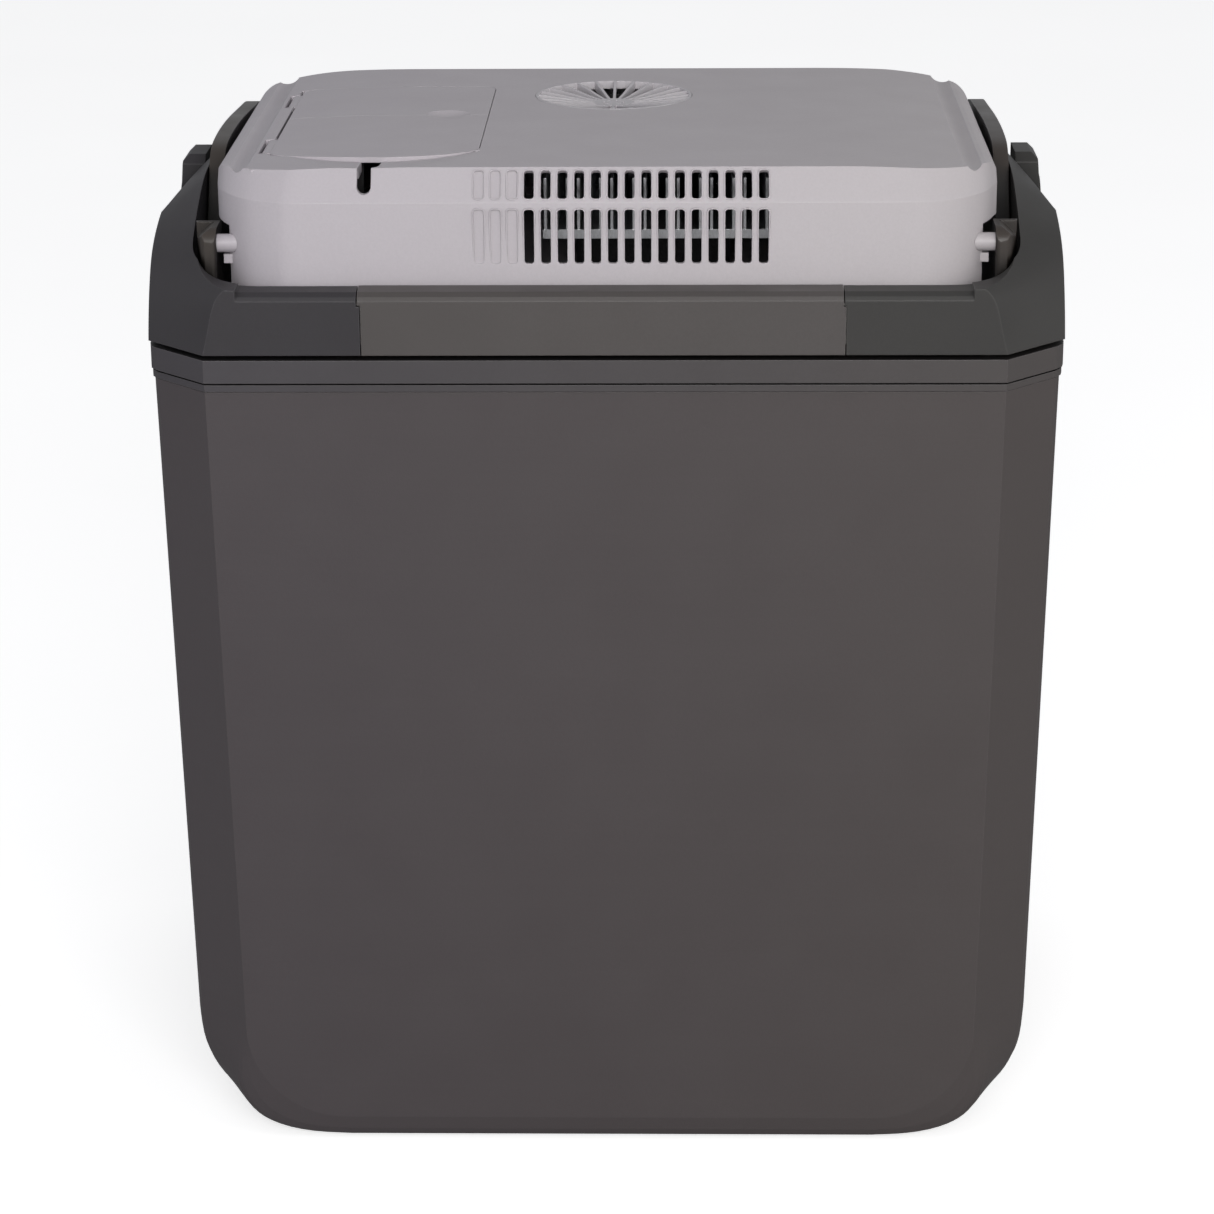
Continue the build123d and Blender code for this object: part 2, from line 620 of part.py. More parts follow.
# (z, half x, half y, corner half axis x, corner half axis y)
LID_OUTER = [(LID_BASE_Z0, LID_HX, 130.0, 40.0, 52.0), (CREASE_Z, LID_HX, 129.0, 40.0, 51.4),
             (460.0, 170.6, 118.2, 45.0, 45.0)]
LID_INNER = [(370.0, LID_IN_HX, 127.6, 37.5, 49.5), (CREASE_IN_Z, LID_IN_HX, 126.5, 37.5, 48.9),
             (460.0, 168.0, 114.9, 42.5, 41.7)]
lid_outside = crowned_loft(LID_OUTER, LID_TOP, LID_HX)
lid_inside = crowned_loft(LID_INNER, LID_TOP - LID_WALL, LID_IN_HX)

with BuildPart() as lid_form:                # full outer form, sides undercut at the overhang
    add(lid_outside)
    for side in SIDES:
        with BuildSketch(at_z(370)), Locations((side * (LID_LOW_HX + 10), 0)):
            Rectangle(20, 300)
        extrude(amount=LID_OVERHANG_Z - 370, mode=CUT)

with BuildPart() as lid_hollow:              # inner form of the top cover
    add(lid_inside)
    for side in SIDES:
        with BuildSketch(at_z(369)), Locations((side * (LID_LOW_HX - LID_WALL + 15), 0)):
            Rectangle(30, 300)
        extrude(amount=LID_OVERHANG_Z + LID_WALL - 369, mode=CUT)
        with BuildSketch(at_z(446.3)), Locations((side * 166, 0)):
            Rectangle(27, 300)               # lower ceiling under the side channels
        extrude(amount=20, mode=CUT)

# ---- cable doors: plan outlines
DOOR_X0, DOOR_X1 = -148.3, -56.0


def front_door_outline(grow, shift=0.0):
    """Front door; grow widens every free edge, shift moves it along X."""
    left, right = DOOR_X0 - grow + shift, DOOR_X1 + grow + shift
    Line((left, -1.2 + grow), (left, -80.0))
    Spline((left, -80.0), (-144.4 - 0.6 * grow + shift, -86.2 - 0.8 * grow),
           (-136.6 + shift, -91.2 - grow), (-124.0 + shift, -95.6 - grow),
           (-111.5 + shift, -98.1 - grow), (-100.0 + shift, -98.9 - grow),
           (-89.4 + shift, -98.1 - grow), (-76.6 + shift, -95.3 - grow),
           (-66.0 + shift, -90.9 - grow))
    ThreePointArc((-66.0 + shift, -90.9 - grow),
                  (-59.3 + 0.75 * grow + shift, -86.0 - 0.7 * grow), (right, -78.5))
    Line((right, -78.5), (right, -1.2 + grow))
    Line((right, -1.2 + grow), (left, -1.2 + grow))


def rear_door_outline(grow, shift=0.0):
    """Rear door; grow and shift as for the front door."""
    left, right = DOOR_X0 - grow + shift, DOOR_X1 + grow + shift
    rear = 72.0 + grow
    Line((left, -0.8 - grow), (left, 66.0))
    ThreePointArc((left, 66.0), (-146.5 - grow * 0.7 + shift, 70.2 + grow * 0.7),
                  (-142.3 + shift, rear))
    Line((-142.3 + shift, rear), (-64.0 + shift, rear))
    ThreePointArc((-64.0 + shift, rear), (-58.3 + grow * 0.7 + shift, 69.7 + grow * 0.7),
                  (right, 64.0))
    Line((right, 64.0), (right, -0.8 - grow))
    Line((right, -0.8 - grow), (left, -0.8 - grow))


KNUCKLES = [(-79.0, -48.5), (30.0, 60.0)]   # Y range of the front and of the rear door's knuckle
DOOR_GAP = 0.35
DOOR_SEAT_Z = 448.5
# (outline, front and rear end of the relief, shifts of the outline)
DOOR_RELIEFS = [
    (front_door_outline, -96.0, -79.2, (-0.5, -1.0, -1.5, -2.0)),
    (rear_door_outline, 64.5, 75.0, (-0.5, -1.0, -1.5))]

SCREW_BOSSES = [(-152, -88), (152, -88), (-152, 88), (152, 88), (-48, 112), (90, 112)]
BOSS_Z0 = 396.5
BOSS_R = 3.8
CHANNEL_R = 4.9
CHANNEL_X, CHANNEL_Y0, CHANNEL_Z = 159.6, -106.5, 455.9

vent_x = [VENT_X0 + VENT_PITCH * i for i in range(VENT_N)]
blind_x, open_x = vent_x[:VENT_BLIND], vent_x[VENT_BLIND:]
bevel = Plane(origin=(0, -124.9, 448.85), x_dir=(1, 0, 0), z_dir=(0, -13.7, 8.2))
# (plane, centre and height of the slots, depth of the open and of the blind slots)
VENT_ROWS = [
    (at_y(-135), 427.2, 23.6, -12, -6.3),       # lower row, through the front wall
    (bevel.offset(5), 0.2, 12.6, -11, -5.9)]    # upper row, through the bevel

with BuildPart() as lid_top_cover:
    add(lid_form.part)
    with BuildSketch(at_z(370)):
        Rectangle(400, 400)
    extrude(amount=LID_COVER_Z0 - 370, mode=CUT)
    add(lid_hollow.part, mode=CUT)
    # side channels, rounded at the front tip and open through the rear edge
    for side in SIDES:
        with BuildSketch(at_y(CHANNEL_Y0)), Locations((side * CHANNEL_X, CHANNEL_Z)):
            Circle(CHANNEL_R)
        extrude(amount=-260, mode=CUT)
        with Locations((side * CHANNEL_X, CHANNEL_Y0, CHANNEL_Z)):
            Sphere(CHANNEL_R, mode=CUT)
    for plane, centre, height, open_depth, blind_depth in VENT_ROWS:
        for columns, depth in ((open_x, open_depth), (blind_x, blind_depth)):
            with BuildSketch(plane), Locations(*[(x, centre) for x in columns]):
                RectangleRounded(VENT_W, height, 1.35)
            extrude(amount=depth, mode=CUT)
    with BuildSketch(at_z(445)), Locations(FAN):            # round seat of the fan grille
        Circle(GRILLE_R)
    extrude(amount=20, mode=CUT)
    with BuildSketch(at_z(449.6)), Locations((-103.0, -103.0)):
        Rectangle(100.0, 23.0)                  # thicker ceiling ahead of the front door
    extrude(amount=4.2)
    with BuildSketch(at_z(449.3)):              # posts that carry the fan
        four_circles(FAN, FAN_PITCH, 3.6)
    extrude(amount=4.5)
    with BuildSketch(at_z(448.0)):
        four_circles(FAN, FAN_PITCH, 1.45)
    extrude(amount=4.9, mode=CUT)
    for outline in (front_door_outline, rear_door_outline):     # openings for the doors
        with BuildSketch(at_z(DOOR_SEAT_Z)):
            with BuildLine():
                outline(DOOR_GAP)
            make_face()
        extrude(amount=12, mode=CUT)
    # relief beside the hinge line, where a corner swings outwards before it has risen clear
    for outline, y0, y1, shifts in DOOR_RELIEFS:
        for shift in shifts:
            with BuildSketch(at_z(DOOR_SEAT_Z)):
                with BuildLine():
                    outline(DOOR_GAP, shift)
                make_face()
                with Locations((-146.5, (y0 + y1) / 2)):
                    Rectangle(12.0, y1 - y0, mode=COMMON)
            extrude(amount=12, mode=CUT)
    with BuildSketch(at_z(446.0)), Locations((-148.9, -3.0)):   # slot along the hinge line
        Rectangle(1.3, 150)
    extrude(amount=14, mode=CUT)
    for y0, y1 in KNUCKLES:                     # pockets for the knuckles
        with BuildSketch(at_z(446.0)), Locations((-151.0, (y0 + y1) / 2)):
            Rectangle(5.6, y1 - y0 + 0.7)
        extrude(amount=14, mode=CUT)
    for y0, y1 in KNUCKLES:                     # lugs that hold the hinge pins
        for y in (y0 - 3.0, y1 + 3.0):
            with BuildSketch(at_z(448.6)), Locations((-151.4, y)):
                Rectangle(4.4, 5.0)
            extrude(amount=5.0)
        with BuildSketch(at_y(y0 - 5.6)), Locations(DOOR_PIN):
            Circle(1.02)
        extrude(amount=-(y1 - y0 + 11.2), mode=CUT)
    # scooped finger relief ahead of the front door
    with BuildSketch(Plane(origin=(-104.0, -121.0, 455.6), x_dir=(1, 0, 0),
                           z_dir=(0, 20.0, -1.6))):
        with Locations((0, -395.0)):
            Circle(395.0)
    extrude(amount=36.5, mode=CUT)
    # cable notch: from the edge of the front door down through the bevel
    with BuildSketch(at_y(-135)):
        with BuildLine():
            Polyline((-106.3, 448.2), (-106.3, 460.0), (-100.2, 460.0), (-100.2, 448.2))
            ThreePointArc((-100.2, 448.2), (-103.2, 445.2), (-106.3, 448.2))
        make_face()
    extrude(amount=-42, mode=CUT)
    with BuildSketch(at_z(447.0)):
        Polygon((-106.0, -90.0), (-106.0, -117.5), (-100.4, -120.5), (-98.2, -117.0),
                (-97.4, -112.0), (-97.4, -90.0), align=None)
    extrude(amount=14, mode=CUT)
    for x, y in SCREW_BOSSES:                   # for the screws that come up through the base
        with BuildSketch(at_z(BOSS_Z0)), Locations((x, y)):
            Circle(BOSS_R)
        extrude(amount=(446.7 if abs(x) > 150 else 454.4) - BOSS_Z0)
        with BuildSketch(at_z(BOSS_Z0)), Locations((x, y)):
            Circle(1.55)
        extrude(amount=14, mode=CUT)
    for side in SIDES:                          # holes for the hinge pins, stop ribs under them
        with BuildSketch(at_x(side * 151)), Locations(HINGE):
            Circle(HINGE_HOLE_R)
        extrude(amount=side * 17, mode=CUT)
        with BuildSketch(at_z(411.5)), Locations((side * 163.8, -107.4)):
            Rectangle(5.8, 5.6)
        extrude(amount=4.0)
save("lid_top_cover", lid_top_cover)

# ---- fan grille: dished disc of radial vanes round a hub
VANE_N = 24
# half section of the disc: (distance from the fan axis, z)
GRILLE_UNDER = [(7.0, 450.0), (16.0, 449.9), (26.0, 450.5), (33.0, 451.6), (37.0, 452.8)]
GRILLE_UPPER = [(35.8, 456.1), (31.0, 455.6), (20.0, 453.9), (7.0, 452.4)]
under = [(FAN_X + r, z) for r, z in GRILLE_UNDER]
upper = [(FAN_X + r, z) for r, z in GRILLE_UPPER]

with BuildPart() as fan_grille:
    with BuildSketch(at_y(FAN_Y)):
        with BuildLine():
            Polyline((FAN_X, 450.0), under[0])
            Spline(*under)
            Polyline(under[-1], (FAN_X + 37.0, 456.0), upper[0])
            Spline(*upper)
            Polyline(upper[-1], (FAN_X, 452.2), (FAN_X, 450.0))
        make_face()
    revolve(axis=Axis((FAN_X, FAN_Y, 0), (0, 0, 1)))
    with BuildSketch(at_z(445)), Locations(FAN):            # gaps between the vanes
        with PolarLocations(0, VANE_N, 180.0 / VANE_N):
            Polygon((9.4, -0.58), (35.4, -4.0), (35.9, 0.0), (35.4, 4.0), (9.4, 0.58),
                    align=None)
    extrude(amount=20, mode=CUT)
    with BuildSketch(at_z(445)), Locations(FAN):            # small slots in the hub
        with PolarLocations(4.6, 6):
            SlotOverall(3.4, 1.3, rotation=90)
    extrude(amount=20, mode=CUT)
save("fan_grille", fan_grille)


# ---- region ahead of the hinge that the lid must keep out of when it swings
def roll_point(angle):
    """Point (y, z) of the rolling circle round the hinge, angle in degrees."""
    return (HINGE_Y + ROLL_R * cos(radians(angle)), HINGE_Z + ROLL_R * sin(radians(angle)))


ROLL_Y0, ROLL_Z0 = -156.0, 370.0
with BuildPart() as roll_region:
    with BuildSketch(at_x(-200)):
        with BuildLine():
            start, bottom = roll_point(200), (HINGE_Y, HINGE_Z - ROLL_R)
            Polyline(bottom, (HINGE_Y, ROLL_Z0), (ROLL_Y0, ROLL_Z0), (ROLL_Y0, start[1]), start)
            ThreePointArc(start, roll_point(235), bottom)
        make_face()
    extrude(amount=400)

# ---- lid base: tray that closes the top cover from below
BASE_FLOOR_Z = 389.4            # top of the underside recess
BASE_CUT_Z = 385.0              # start of every cut through the tray floor
# (bottom, top, inset x, inset y, mode)
BASE_STEPS = [
    (LID_BASE_Z0, LID_BASE_Z1, 0, 0.3, Mode.ADD),
    (LID_BASE_Z1, LID_BASE_Z1 + 3.6, 2.9, 3.1, Mode.ADD),   # locating lip inside the cover
    (LID_BASE_Z1, LID_BASE_Z1 + 6, 4.7, 4.9, CUT),
    (370.0, BASE_FLOOR_Z, 3.0, 3.3, CUT)]                   # underside recess
BOARD_X, BOARD_Y, BOARD_Z = 122.0, -8.0, 403.0              # supply board
BOARD_HOLES = [(BOARD_X + x, BOARD_Y + y) for x in (-27, 27) for y in (-61, 61)]

with BuildPart() as lid_base:
    for z0, z1, inset_x, inset_y, step_mode in BASE_STEPS:
        with BuildSketch(at_z(z0)):
            with BuildLine():
                lid_step_plan(inset_x, inset_y)
            make_face()
            keep_low_width(inset_x)
        extrude(amount=z1 - z0, mode=step_mode)
    with BuildSketch(at_z(BASE_CUT_Z)), Locations(STACK):   # window for the cold block
        RectangleRounded(47.0, 47.0, 3)
    extrude(amount=10, mode=CUT)
    for point in SCREW_BOSSES:                              # screw holes and their collars
        with BuildSketch(at_z(BASE_CUT_Z)), Locations(point):
            Circle(1.7)
        extrude(amount=10, mode=CUT)
        with BuildSketch(at_z(LID_BASE_Z1 - 0.1)), Locations(point):
            Circle(BOSS_R)
            Circle(1.7, mode=CUT)
        extrude(amount=4.6)
    with BuildSketch(at_z(BASE_CUT_Z)):                     # clamp bolts pass through
        four_circles(STACK, BOLT_PITCH, 1.7)
    extrude(amount=10, mode=CUT)
    for point in BOARD_HOLES:                               # posts for the supply board
        with BuildSketch(at_z(391.6)), Locations(point):
            Circle(3.0)
        extrude(amount=BOARD_Z - 0.05 - 391.6)
        with BuildSketch(at_z(394.5)), Locations(point):
            Circle(1.45)
        extrude(amount=10, mode=CUT)
    add(roll_region.part, mode=CUT)
save("lid_base", lid_base)

LID_HEAD_Z0, LID_HEAD_T = 387.2, 2.15
with BuildPart() as lid_screws:
    for z, radius, length in ((LID_HEAD_Z0, 3.2, LID_HEAD_T),
                              (LID_HEAD_Z0 + LID_HEAD_T, 1.5, 19.0)):
        with BuildSketch(at_z(z)), Locations(*SCREW_BOSSES):
            Circle(radius)
        extrude(amount=length)
    with BuildSketch(at_z(LID_HEAD_Z0)), Locations(*SCREW_BOSSES):
        Rectangle(3.8, 0.8)
        Rectangle(0.8, 3.8)
    extrude(amount=1.1, mode=CUT)
save("lid_screws", lid_screws)

# ---- insulated plug under the lid: moulded tray
PLUG_Z0 = 360.0
with BuildPart() as lid_plug:
    with BuildSketch(at_z(LID_BASE_Z0)):
        with BuildLine():
            lid_step_plan(3.4, 3.7)
        make_face()
        keep_low_width(3.4)
    extrude(amount=2.0)
    with BuildSketch(at_z(PLUG_Z0)), Locations((0, 1.5)):
        RectangleRounded(2 * 148.0, 207.0, 19)
    with BuildSketch(at_z(LID_BASE_Z0)), Locations((0, 2.5)):
        RectangleRounded(2 * 149.5, 213.0, 20.5)
    loft()
    with BuildSketch(at_z(PLUG_Z0 + 1.8)), Locations((0, 1.5)):
        RectangleRounded(2 * 146.3, 203.6, 17.3)
    with BuildSketch(at_z(LID_BASE_Z0 + 2.0)), Locations((0, 2.5)):
        RectangleRounded(2 * 147.8, 209.6, 18.8)
    loft(mode=CUT)
    with BuildSketch(at_z(PLUG_Z0 - 1)), Locations(STACK):  # cold-side opening
        RectangleRounded(86.0, 86.0, 4)
    extrude(amount=4, mode=CUT)
    with BuildSketch(at_z(PLUG_Z0 - 1)):
        four_circles(STACK, GUARD_PITCH, 1.25)
    extrude(amount=4, mode=CUT)
    add(roll_region.part, mode=CUT)
save("lid_plug", lid_plug)

LID_FOAM_Z = LID_BASE_Z0 + 2.3  # where the foam widens
with BuildPart() as lid_foam:
    with BuildSketch(at_z(LID_FOAM_Z)):
        with BuildLine():
            lid_plan(LID_HX - 3.6, LID_HY - 8.6, 36.4, 44.0)
        make_face()
        keep_low_width(3.6)
    extrude(amount=389.1 - LID_FOAM_Z)
    with BuildSketch(at_z(362.1)), Locations((0, 1.5)):
        RectangleRounded(2 * 145.9, 202.8, 17)
    with BuildSketch(at_z(LID_FOAM_Z)), Locations((0, 2.5)):
        RectangleRounded(2 * 147.4, 208.6, 18.4)
    loft()
    with BuildSketch(at_z(361.0)), Locations(STACK):
        Rectangle(92.0, 92.0)
    extrude(amount=40, mode=CUT)
    for point in SCREW_BOSSES:
        with BuildSketch(at_z(386.6)), Locations(point):
            Circle(4.0)
        extrude(amount=6, mode=CUT)
    add(roll_region.part, mode=CUT)
save("lid_foam", lid_foam)

# ---- soft seal round the mouth
GASKET_Z0, GASKET_W = 377.0, 4.6
with BuildPart() as lid_gasket:
    with BuildSketch(at_z(GASKET_Z0)), Locations((0, 4.0)):
        RectangleRounded(2 * 158.0, 235.6, 26)
        RectangleRounded(2 * (158.0 - GASKET_W), 235.6 - 2 * GASKET_W, 26 - GASKET_W, mode=CUT)
    extrude(amount=LID_BASE_Z0 - GASKET_Z0)
save("lid_gasket", lid_gasket)

with BuildPart() as lid_hinge_pins:
    for side in SIDES:
        for x, radius, length in ((150.0, 7.0, 1.8), (151.8, 4.0, 15.5), (167.3, 4.0, 6.4)):
            with BuildSketch(at_x(side * x)), Locations(HINGE):
                Circle(radius)
            extrude(amount=side * length)
    for end in (0, -1):
        chamfer(lid_hinge_pins.edges().filter_by(GeomType.CIRCLE).sort_by(Axis.X)[end], 0.5)
save("lid_hinge_pins", lid_hinge_pins)

# ================================================================ THERMOELECTRIC STACK
HOT_PLATE_Z0, HOT_PLATE_T = 423.0, 4.0
HOT_FIN_Z0 = HOT_PLATE_Z0 + HOT_PLATE_T
HOT_FIN_N, HOT_FIN_X0, HOT_FIN_PITCH, HOT_FIN_T = 23, -25.8, 4.8, 1.2
COLD_PLATE_Z0, COLD_PLATE_T = 384.0, 5.0
COLD_SIZE = 84.0
COLD_FIN_N, COLD_FIN_PITCH, COLD_FIN_H = 19, 4.6, 15.6

with BuildPart() as hot_sink:
    with BuildSketch(at_z(HOT_PLATE_Z0)), Locations((27.0, -11.0)):
        Rectangle(108.0, 206.0)
    extrude(amount=HOT_PLATE_T)
    # tall fins in front, low fins under the fan: (centre y, length, height)
    for y, length, height in ((-55.5, 116.0, 22.5), (47.0, 89.0, 5.0)):
        with BuildSketch(at_z(HOT_FIN_Z0)):
            with Locations(*[(HOT_FIN_X0 + HOT_FIN_PITCH * i, y) for i in range(HOT_FIN_N)]):
                Rectangle(HOT_FIN_T, length)
        extrude(amount=height)
    with BuildSketch(at_z(420.0)):
        four_circles(STACK, BOLT_PITCH, 1.6)
    extrude(amount=20, mode=CUT)
    with BuildSketch(at_z(HOT_FIN_Z0)):
        four_circles(STACK, BOLT_PITCH, 3.3)
    extrude(amount=30, mode=CUT)
save("hot_sink", hot_sink)

with BuildPart() as peltier_module:
    for z, size, height in ((419.15, 40.0, 0.8), (419.95, 38.4, 2.2), (422.15, 40.0, 0.8)):
        with BuildSketch(at_z(z)), Locations(STACK):
            Rectangle(size, size)
        extrude(amount=height)
save("peltier_module", peltier_module)

with BuildPart() as cold_block:
    with BuildSketch(at_z(COLD_PLATE_Z0 + COLD_PLATE_T + 0.1)), Locations(STACK):
        RectangleRounded(42.0, 42.0, 1.5)
    extrude(amount=30.0)
save("cold_block", cold_block)

with BuildPart() as stack_insulation:
    with BuildSketch(at_z(392.0)):
        with Locations(STACK):
            RectangleRounded(70.0, 70.0, 5)
            Rectangle(43.0, 43.0, mode=CUT)
        four_circles(STACK, BOLT_PITCH, 2.4, mode=CUT)
    extrude(amount=30.7)
save("stack_insulation", stack_insulation)

with BuildPart() as cold_sink:
    with BuildSketch(at_z(COLD_PLATE_Z0)), Locations(STACK):
        Rectangle(COLD_SIZE, COLD_SIZE)
    extrude(amount=COLD_PLATE_T)
    with BuildSketch(at_z(COLD_PLATE_Z0 - COLD_FIN_H)):
        with Locations(*[(STACK_X - 41.4 + COLD_FIN_PITCH * i, STACK_Y)
                         for i in range(COLD_FIN_N)]):
            Rectangle(1.1, COLD_SIZE)
    extrude(amount=COLD_FIN_H)
    with BuildSketch(at_z(360.0)):
        four_circles(STACK, BOLT_PITCH, 1.5)
    extrude(amount=40, mode=CUT)
    with BuildSketch(at_z(367.0)):
        four_circles(STACK, FAN_PITCH, 1.9)
    extrude(amount=19.2, mode=CUT)
save("cold_sink", cold_sink)

with BuildPart() as stack_bolts:             # clamp hot and cold sinks together
    with BuildSketch(at_z(384.5)):
        four_circles(STACK, BOLT_PITCH, 1.4)
    extrude(amount=42.6)
    with BuildSketch(at_z(HOT_FIN_Z0 + 0.05)), Locations(STACK):
        with GridLocations(BOLT_PITCH, BOLT_PITCH, 2, 2):
            Circle(2.7)
            RegularPolygon(1.3, 6, mode=CUT)
    extrude(amount=2.4)
save("stack_bolts", stack_bolts)

# ---- axial fans: the warm one is modelled, the cold one is the same fan moved
HOT_Z, COLD_Z, FAN_T = 434.2, 352.6, 15.0
ROTOR_HUB_R = 15.0
BLADE_N = 7
BLADE_Z = HOT_Z + 8.2
# Blade ends: (distance from axis, added angle, level and rising part of the chord,
# chord length, thickness)
BLADE_ENDS = [(14.2, 0, 0.82, 0.57, 13.5, 1.2), (37.4, 6, 0.9, 0.44, 15.0, 1.0)]

with BuildPart() as hot_fan_frame:
    with BuildSketch(at_z(HOT_Z)):
        with Locations(FAN):
            RectangleRounded(80.0, 80.0, 5.0)
        four_circles(FAN, FAN_PITCH, 2.15, mode=CUT)
    extrude(amount=FAN_T)
    with BuildSketch(at_z(HOT_Z)), Locations(FAN):
        Circle(38.4)
    extrude(amount=FAN_T, mode=CUT)
    with BuildSketch(at_z(HOT_Z)), Locations(FAN):          # motor plate and four struts
        Circle(ROTOR_HUB_R)
        with PolarLocations(27.0, 4, 45):
            Rectangle(26.0, 3.0)
    extrude(amount=1.8)
    with BuildSketch(at_z(HOT_Z)), Locations(FAN):          # bearing tube
        Circle(4.0)
    extrude(amount=11.0)
    with BuildSketch(at_z(HOT_Z + 1.8)), Locations(FAN):
        Circle(1.55)
    extrude(amount=12.0, mode=CUT)
save("hot_fan_frame", hot_fan_frame)

with BuildPart() as hot_fan_rotor:
    # hub, its hollow, shaft: (z above the frame's underside, radius, length, mode)
    for lift, radius, length, step_mode in ((2.3, ROTOR_HUB_R, 11.7, Mode.ADD),
                                            (2.3, 13.4, 10.2, CUT),
                                            (2.2, 1.5, 11.0, Mode.ADD)):
        with BuildSketch(at_z(HOT_Z + lift)), Locations(FAN):
            Circle(radius)
        extrude(amount=length, mode=step_mode)
    for k in range(BLADE_N):
        for distance, turn, level, rise, chord, thickness in BLADE_ENDS:
            angle = radians(360.0 / BLADE_N * k + turn)
            blade_end = Plane(
                origin=(FAN_X + distance * cos(angle), FAN_Y + distance * sin(angle), BLADE_Z),
                x_dir=(-sin(angle) * level, cos(angle) * level, rise),
                z_dir=(cos(angle), sin(angle), 0))
            with BuildSketch(blade_end):
                Rectangle(chord, thickness)
        loft()
    with BuildSketch(at_z(HOT_Z + 1.0)), Locations(FAN):    # blade tips cut to a cylinder
        Circle(38.0)
    extrude(amount=FAN_T, mode=COMMON)
save("hot_fan_rotor", hot_fan_rotor)

SHIFT = Location((STACK_X - FAN_X, STACK_Y - FAN_Y, COLD_Z - HOT_Z))
with BuildPart() as cold_fan_frame:
    add(hot_fan_frame.part.moved(SHIFT))
save("cold_fan_frame", cold_fan_frame)

with BuildPart() as cold_fan_rotor:
    add(hot_fan_rotor.part.moved(SHIFT))
save("cold_fan_rotor", cold_fan_rotor)

with BuildPart() as fan_screws:
    for centre, fan_z, shank in ((FAN, HOT_Z, 18.0), (STACK, COLD_Z, 33.0)):
        with BuildSketch(at_z(fan_z - 2.05)):
            four_circles(centre, FAN_PITCH, 2.8)
        extrude(amount=2.0)
        with BuildSketch(at_z(fan_z - 0.1)):
            four_circles(centre, FAN_PITCH, 1.4)
        extrude(amount=shank)
save("fan_screws", fan_screws)

# ---- cover over the cold fan, inside the food compartment
GUARD_Z0, GUARD_FLANGE_Z = 343.5, 358.2
with BuildPart() as cold_air_guard:
    with BuildSketch(at_z(GUARD_FLANGE_Z)), Locations(STACK):
        RectangleRounded(106.0, 106.0, 7)
    extrude(amount=1.7)
    with BuildSketch(at_z(GUARD_Z0)), Locations(STACK):
        RectangleRounded(92.0, 92.0, 9)
    extrude(amount=15.0)
    chamfer(cold_air_guard.faces().sort_by(Axis.Z)[0].edges(), 1.6)
    with BuildSketch(at_z(GUARD_Z0 + 2)), Locations(STACK):
        RectangleRounded(88.0, 88.0, 7)
    extrude(amount=20.0, mode=CUT)
    with BuildSketch(at_z(342.0)), Locations(STACK):        # intake slots
        with Locations(*[(0, -30 + 6 * i) for i in range(11)]):
            SlotOverall(62.0, 3.0)
    extrude(amount=5.0, mode=CUT)
    for k in range(4):                                      # outlet slots round the sides
        out_x, out_y = cos(radians(90 * k)), sin(radians(90 * k))
        wall = Plane(origin=(STACK_X + 47 * out_x, STACK_Y + 47 * out_y, 352.5),
                     x_dir=(-out_y, out_x, 0), z_dir=(out_x, out_y, 0))
        with BuildSketch(wall), Locations(*[(-33 + 6 * i, 0) for i in range(12)]):
            SlotOverall(9.0, 2.8, rotation=90)
        extrude(amount=-5.0, mode=CUT)
    with BuildSketch(at_z(350.0)):
        four_circles(STACK, GUARD_PITCH, 1.35)
    extrude(amount=12.0, mode=CUT)
save("cold_air_guard", cold_air_guard)

with BuildPart() as guard_screws:
    with BuildSketch(at_z(356.1)), Locations(STACK):        # slotted lower part of the heads
        with GridLocations(GUARD_PITCH, GUARD_PITCH, 2, 2):
            Circle(2.3)
            Rectangle(3.0, 0.7, mode=CUT)
    extrude(amount=0.8)
    for z, radius, length in ((356.9, 2.3, 1.25), (358.1, 1.2, 3.8)):
        with BuildSketch(at_z(z)):
            four_circles(STACK, GUARD_PITCH, radius)
        extrude(amount=length)
save("guard_screws", guard_screws)

# ================================================================ CABLE COMPARTMENTS, SUPPLY
TRAY_CENTRE = (-102.0, -9.5)
TRAY_Z0 = 410.0
TRAY_FLOOR = 412.0
with BuildPart() as cable_tray:
    with BuildSketch(at_z(TRAY_Z0)), Locations(TRAY_CENTRE):
        Rectangle(90.0, 160.0)
    extrude(amount=41.0)
    with BuildSketch(at_z(TRAY_FLOOR)):         # front and rear compartment
        with Locations((-102.0, -45.4)):
            Rectangle(86.0, 84.4)
        with Locations((-102.0, 34.0)):
            Rectangle(86.0, 69.0)
    extrude(amount=50.0, mode=CUT)
    with BuildSketch(at_z(447.8)), Locations((-147.0, -9.5)):
        Rectangle(6.0, 170.0)                   # left wall stops under the hinge line
    extrude(amount=10.0, mode=CUT)
    # way out for the cable, then the pass between the compartments
    for y, depth in ((-88.6, 6.0), (-1.85, 8.0)):
        with BuildSketch(at_z(436.0)), Locations((-103.2, y)):
            Rectangle(6.4, depth)
        extrude(amount=20.0, mode=CUT)
    with BuildSketch(at_z(391.9)), Locations(TRAY_CENTRE):  # legs down to the base
        with GridLocations(80, 150, 2, 2):
            Circle(3.5)
    extrude(amount=18.3)
save("cable_tray", cable_tray)

with BuildPart() as ceiling:                 # everything below the doors' underside
    with BuildSketch(at_y(-150)):
        with BuildLine():
            crown(LID_TOP - 2.4, LID_IN_HX)
        make_face()
    extrude(amount=-300)


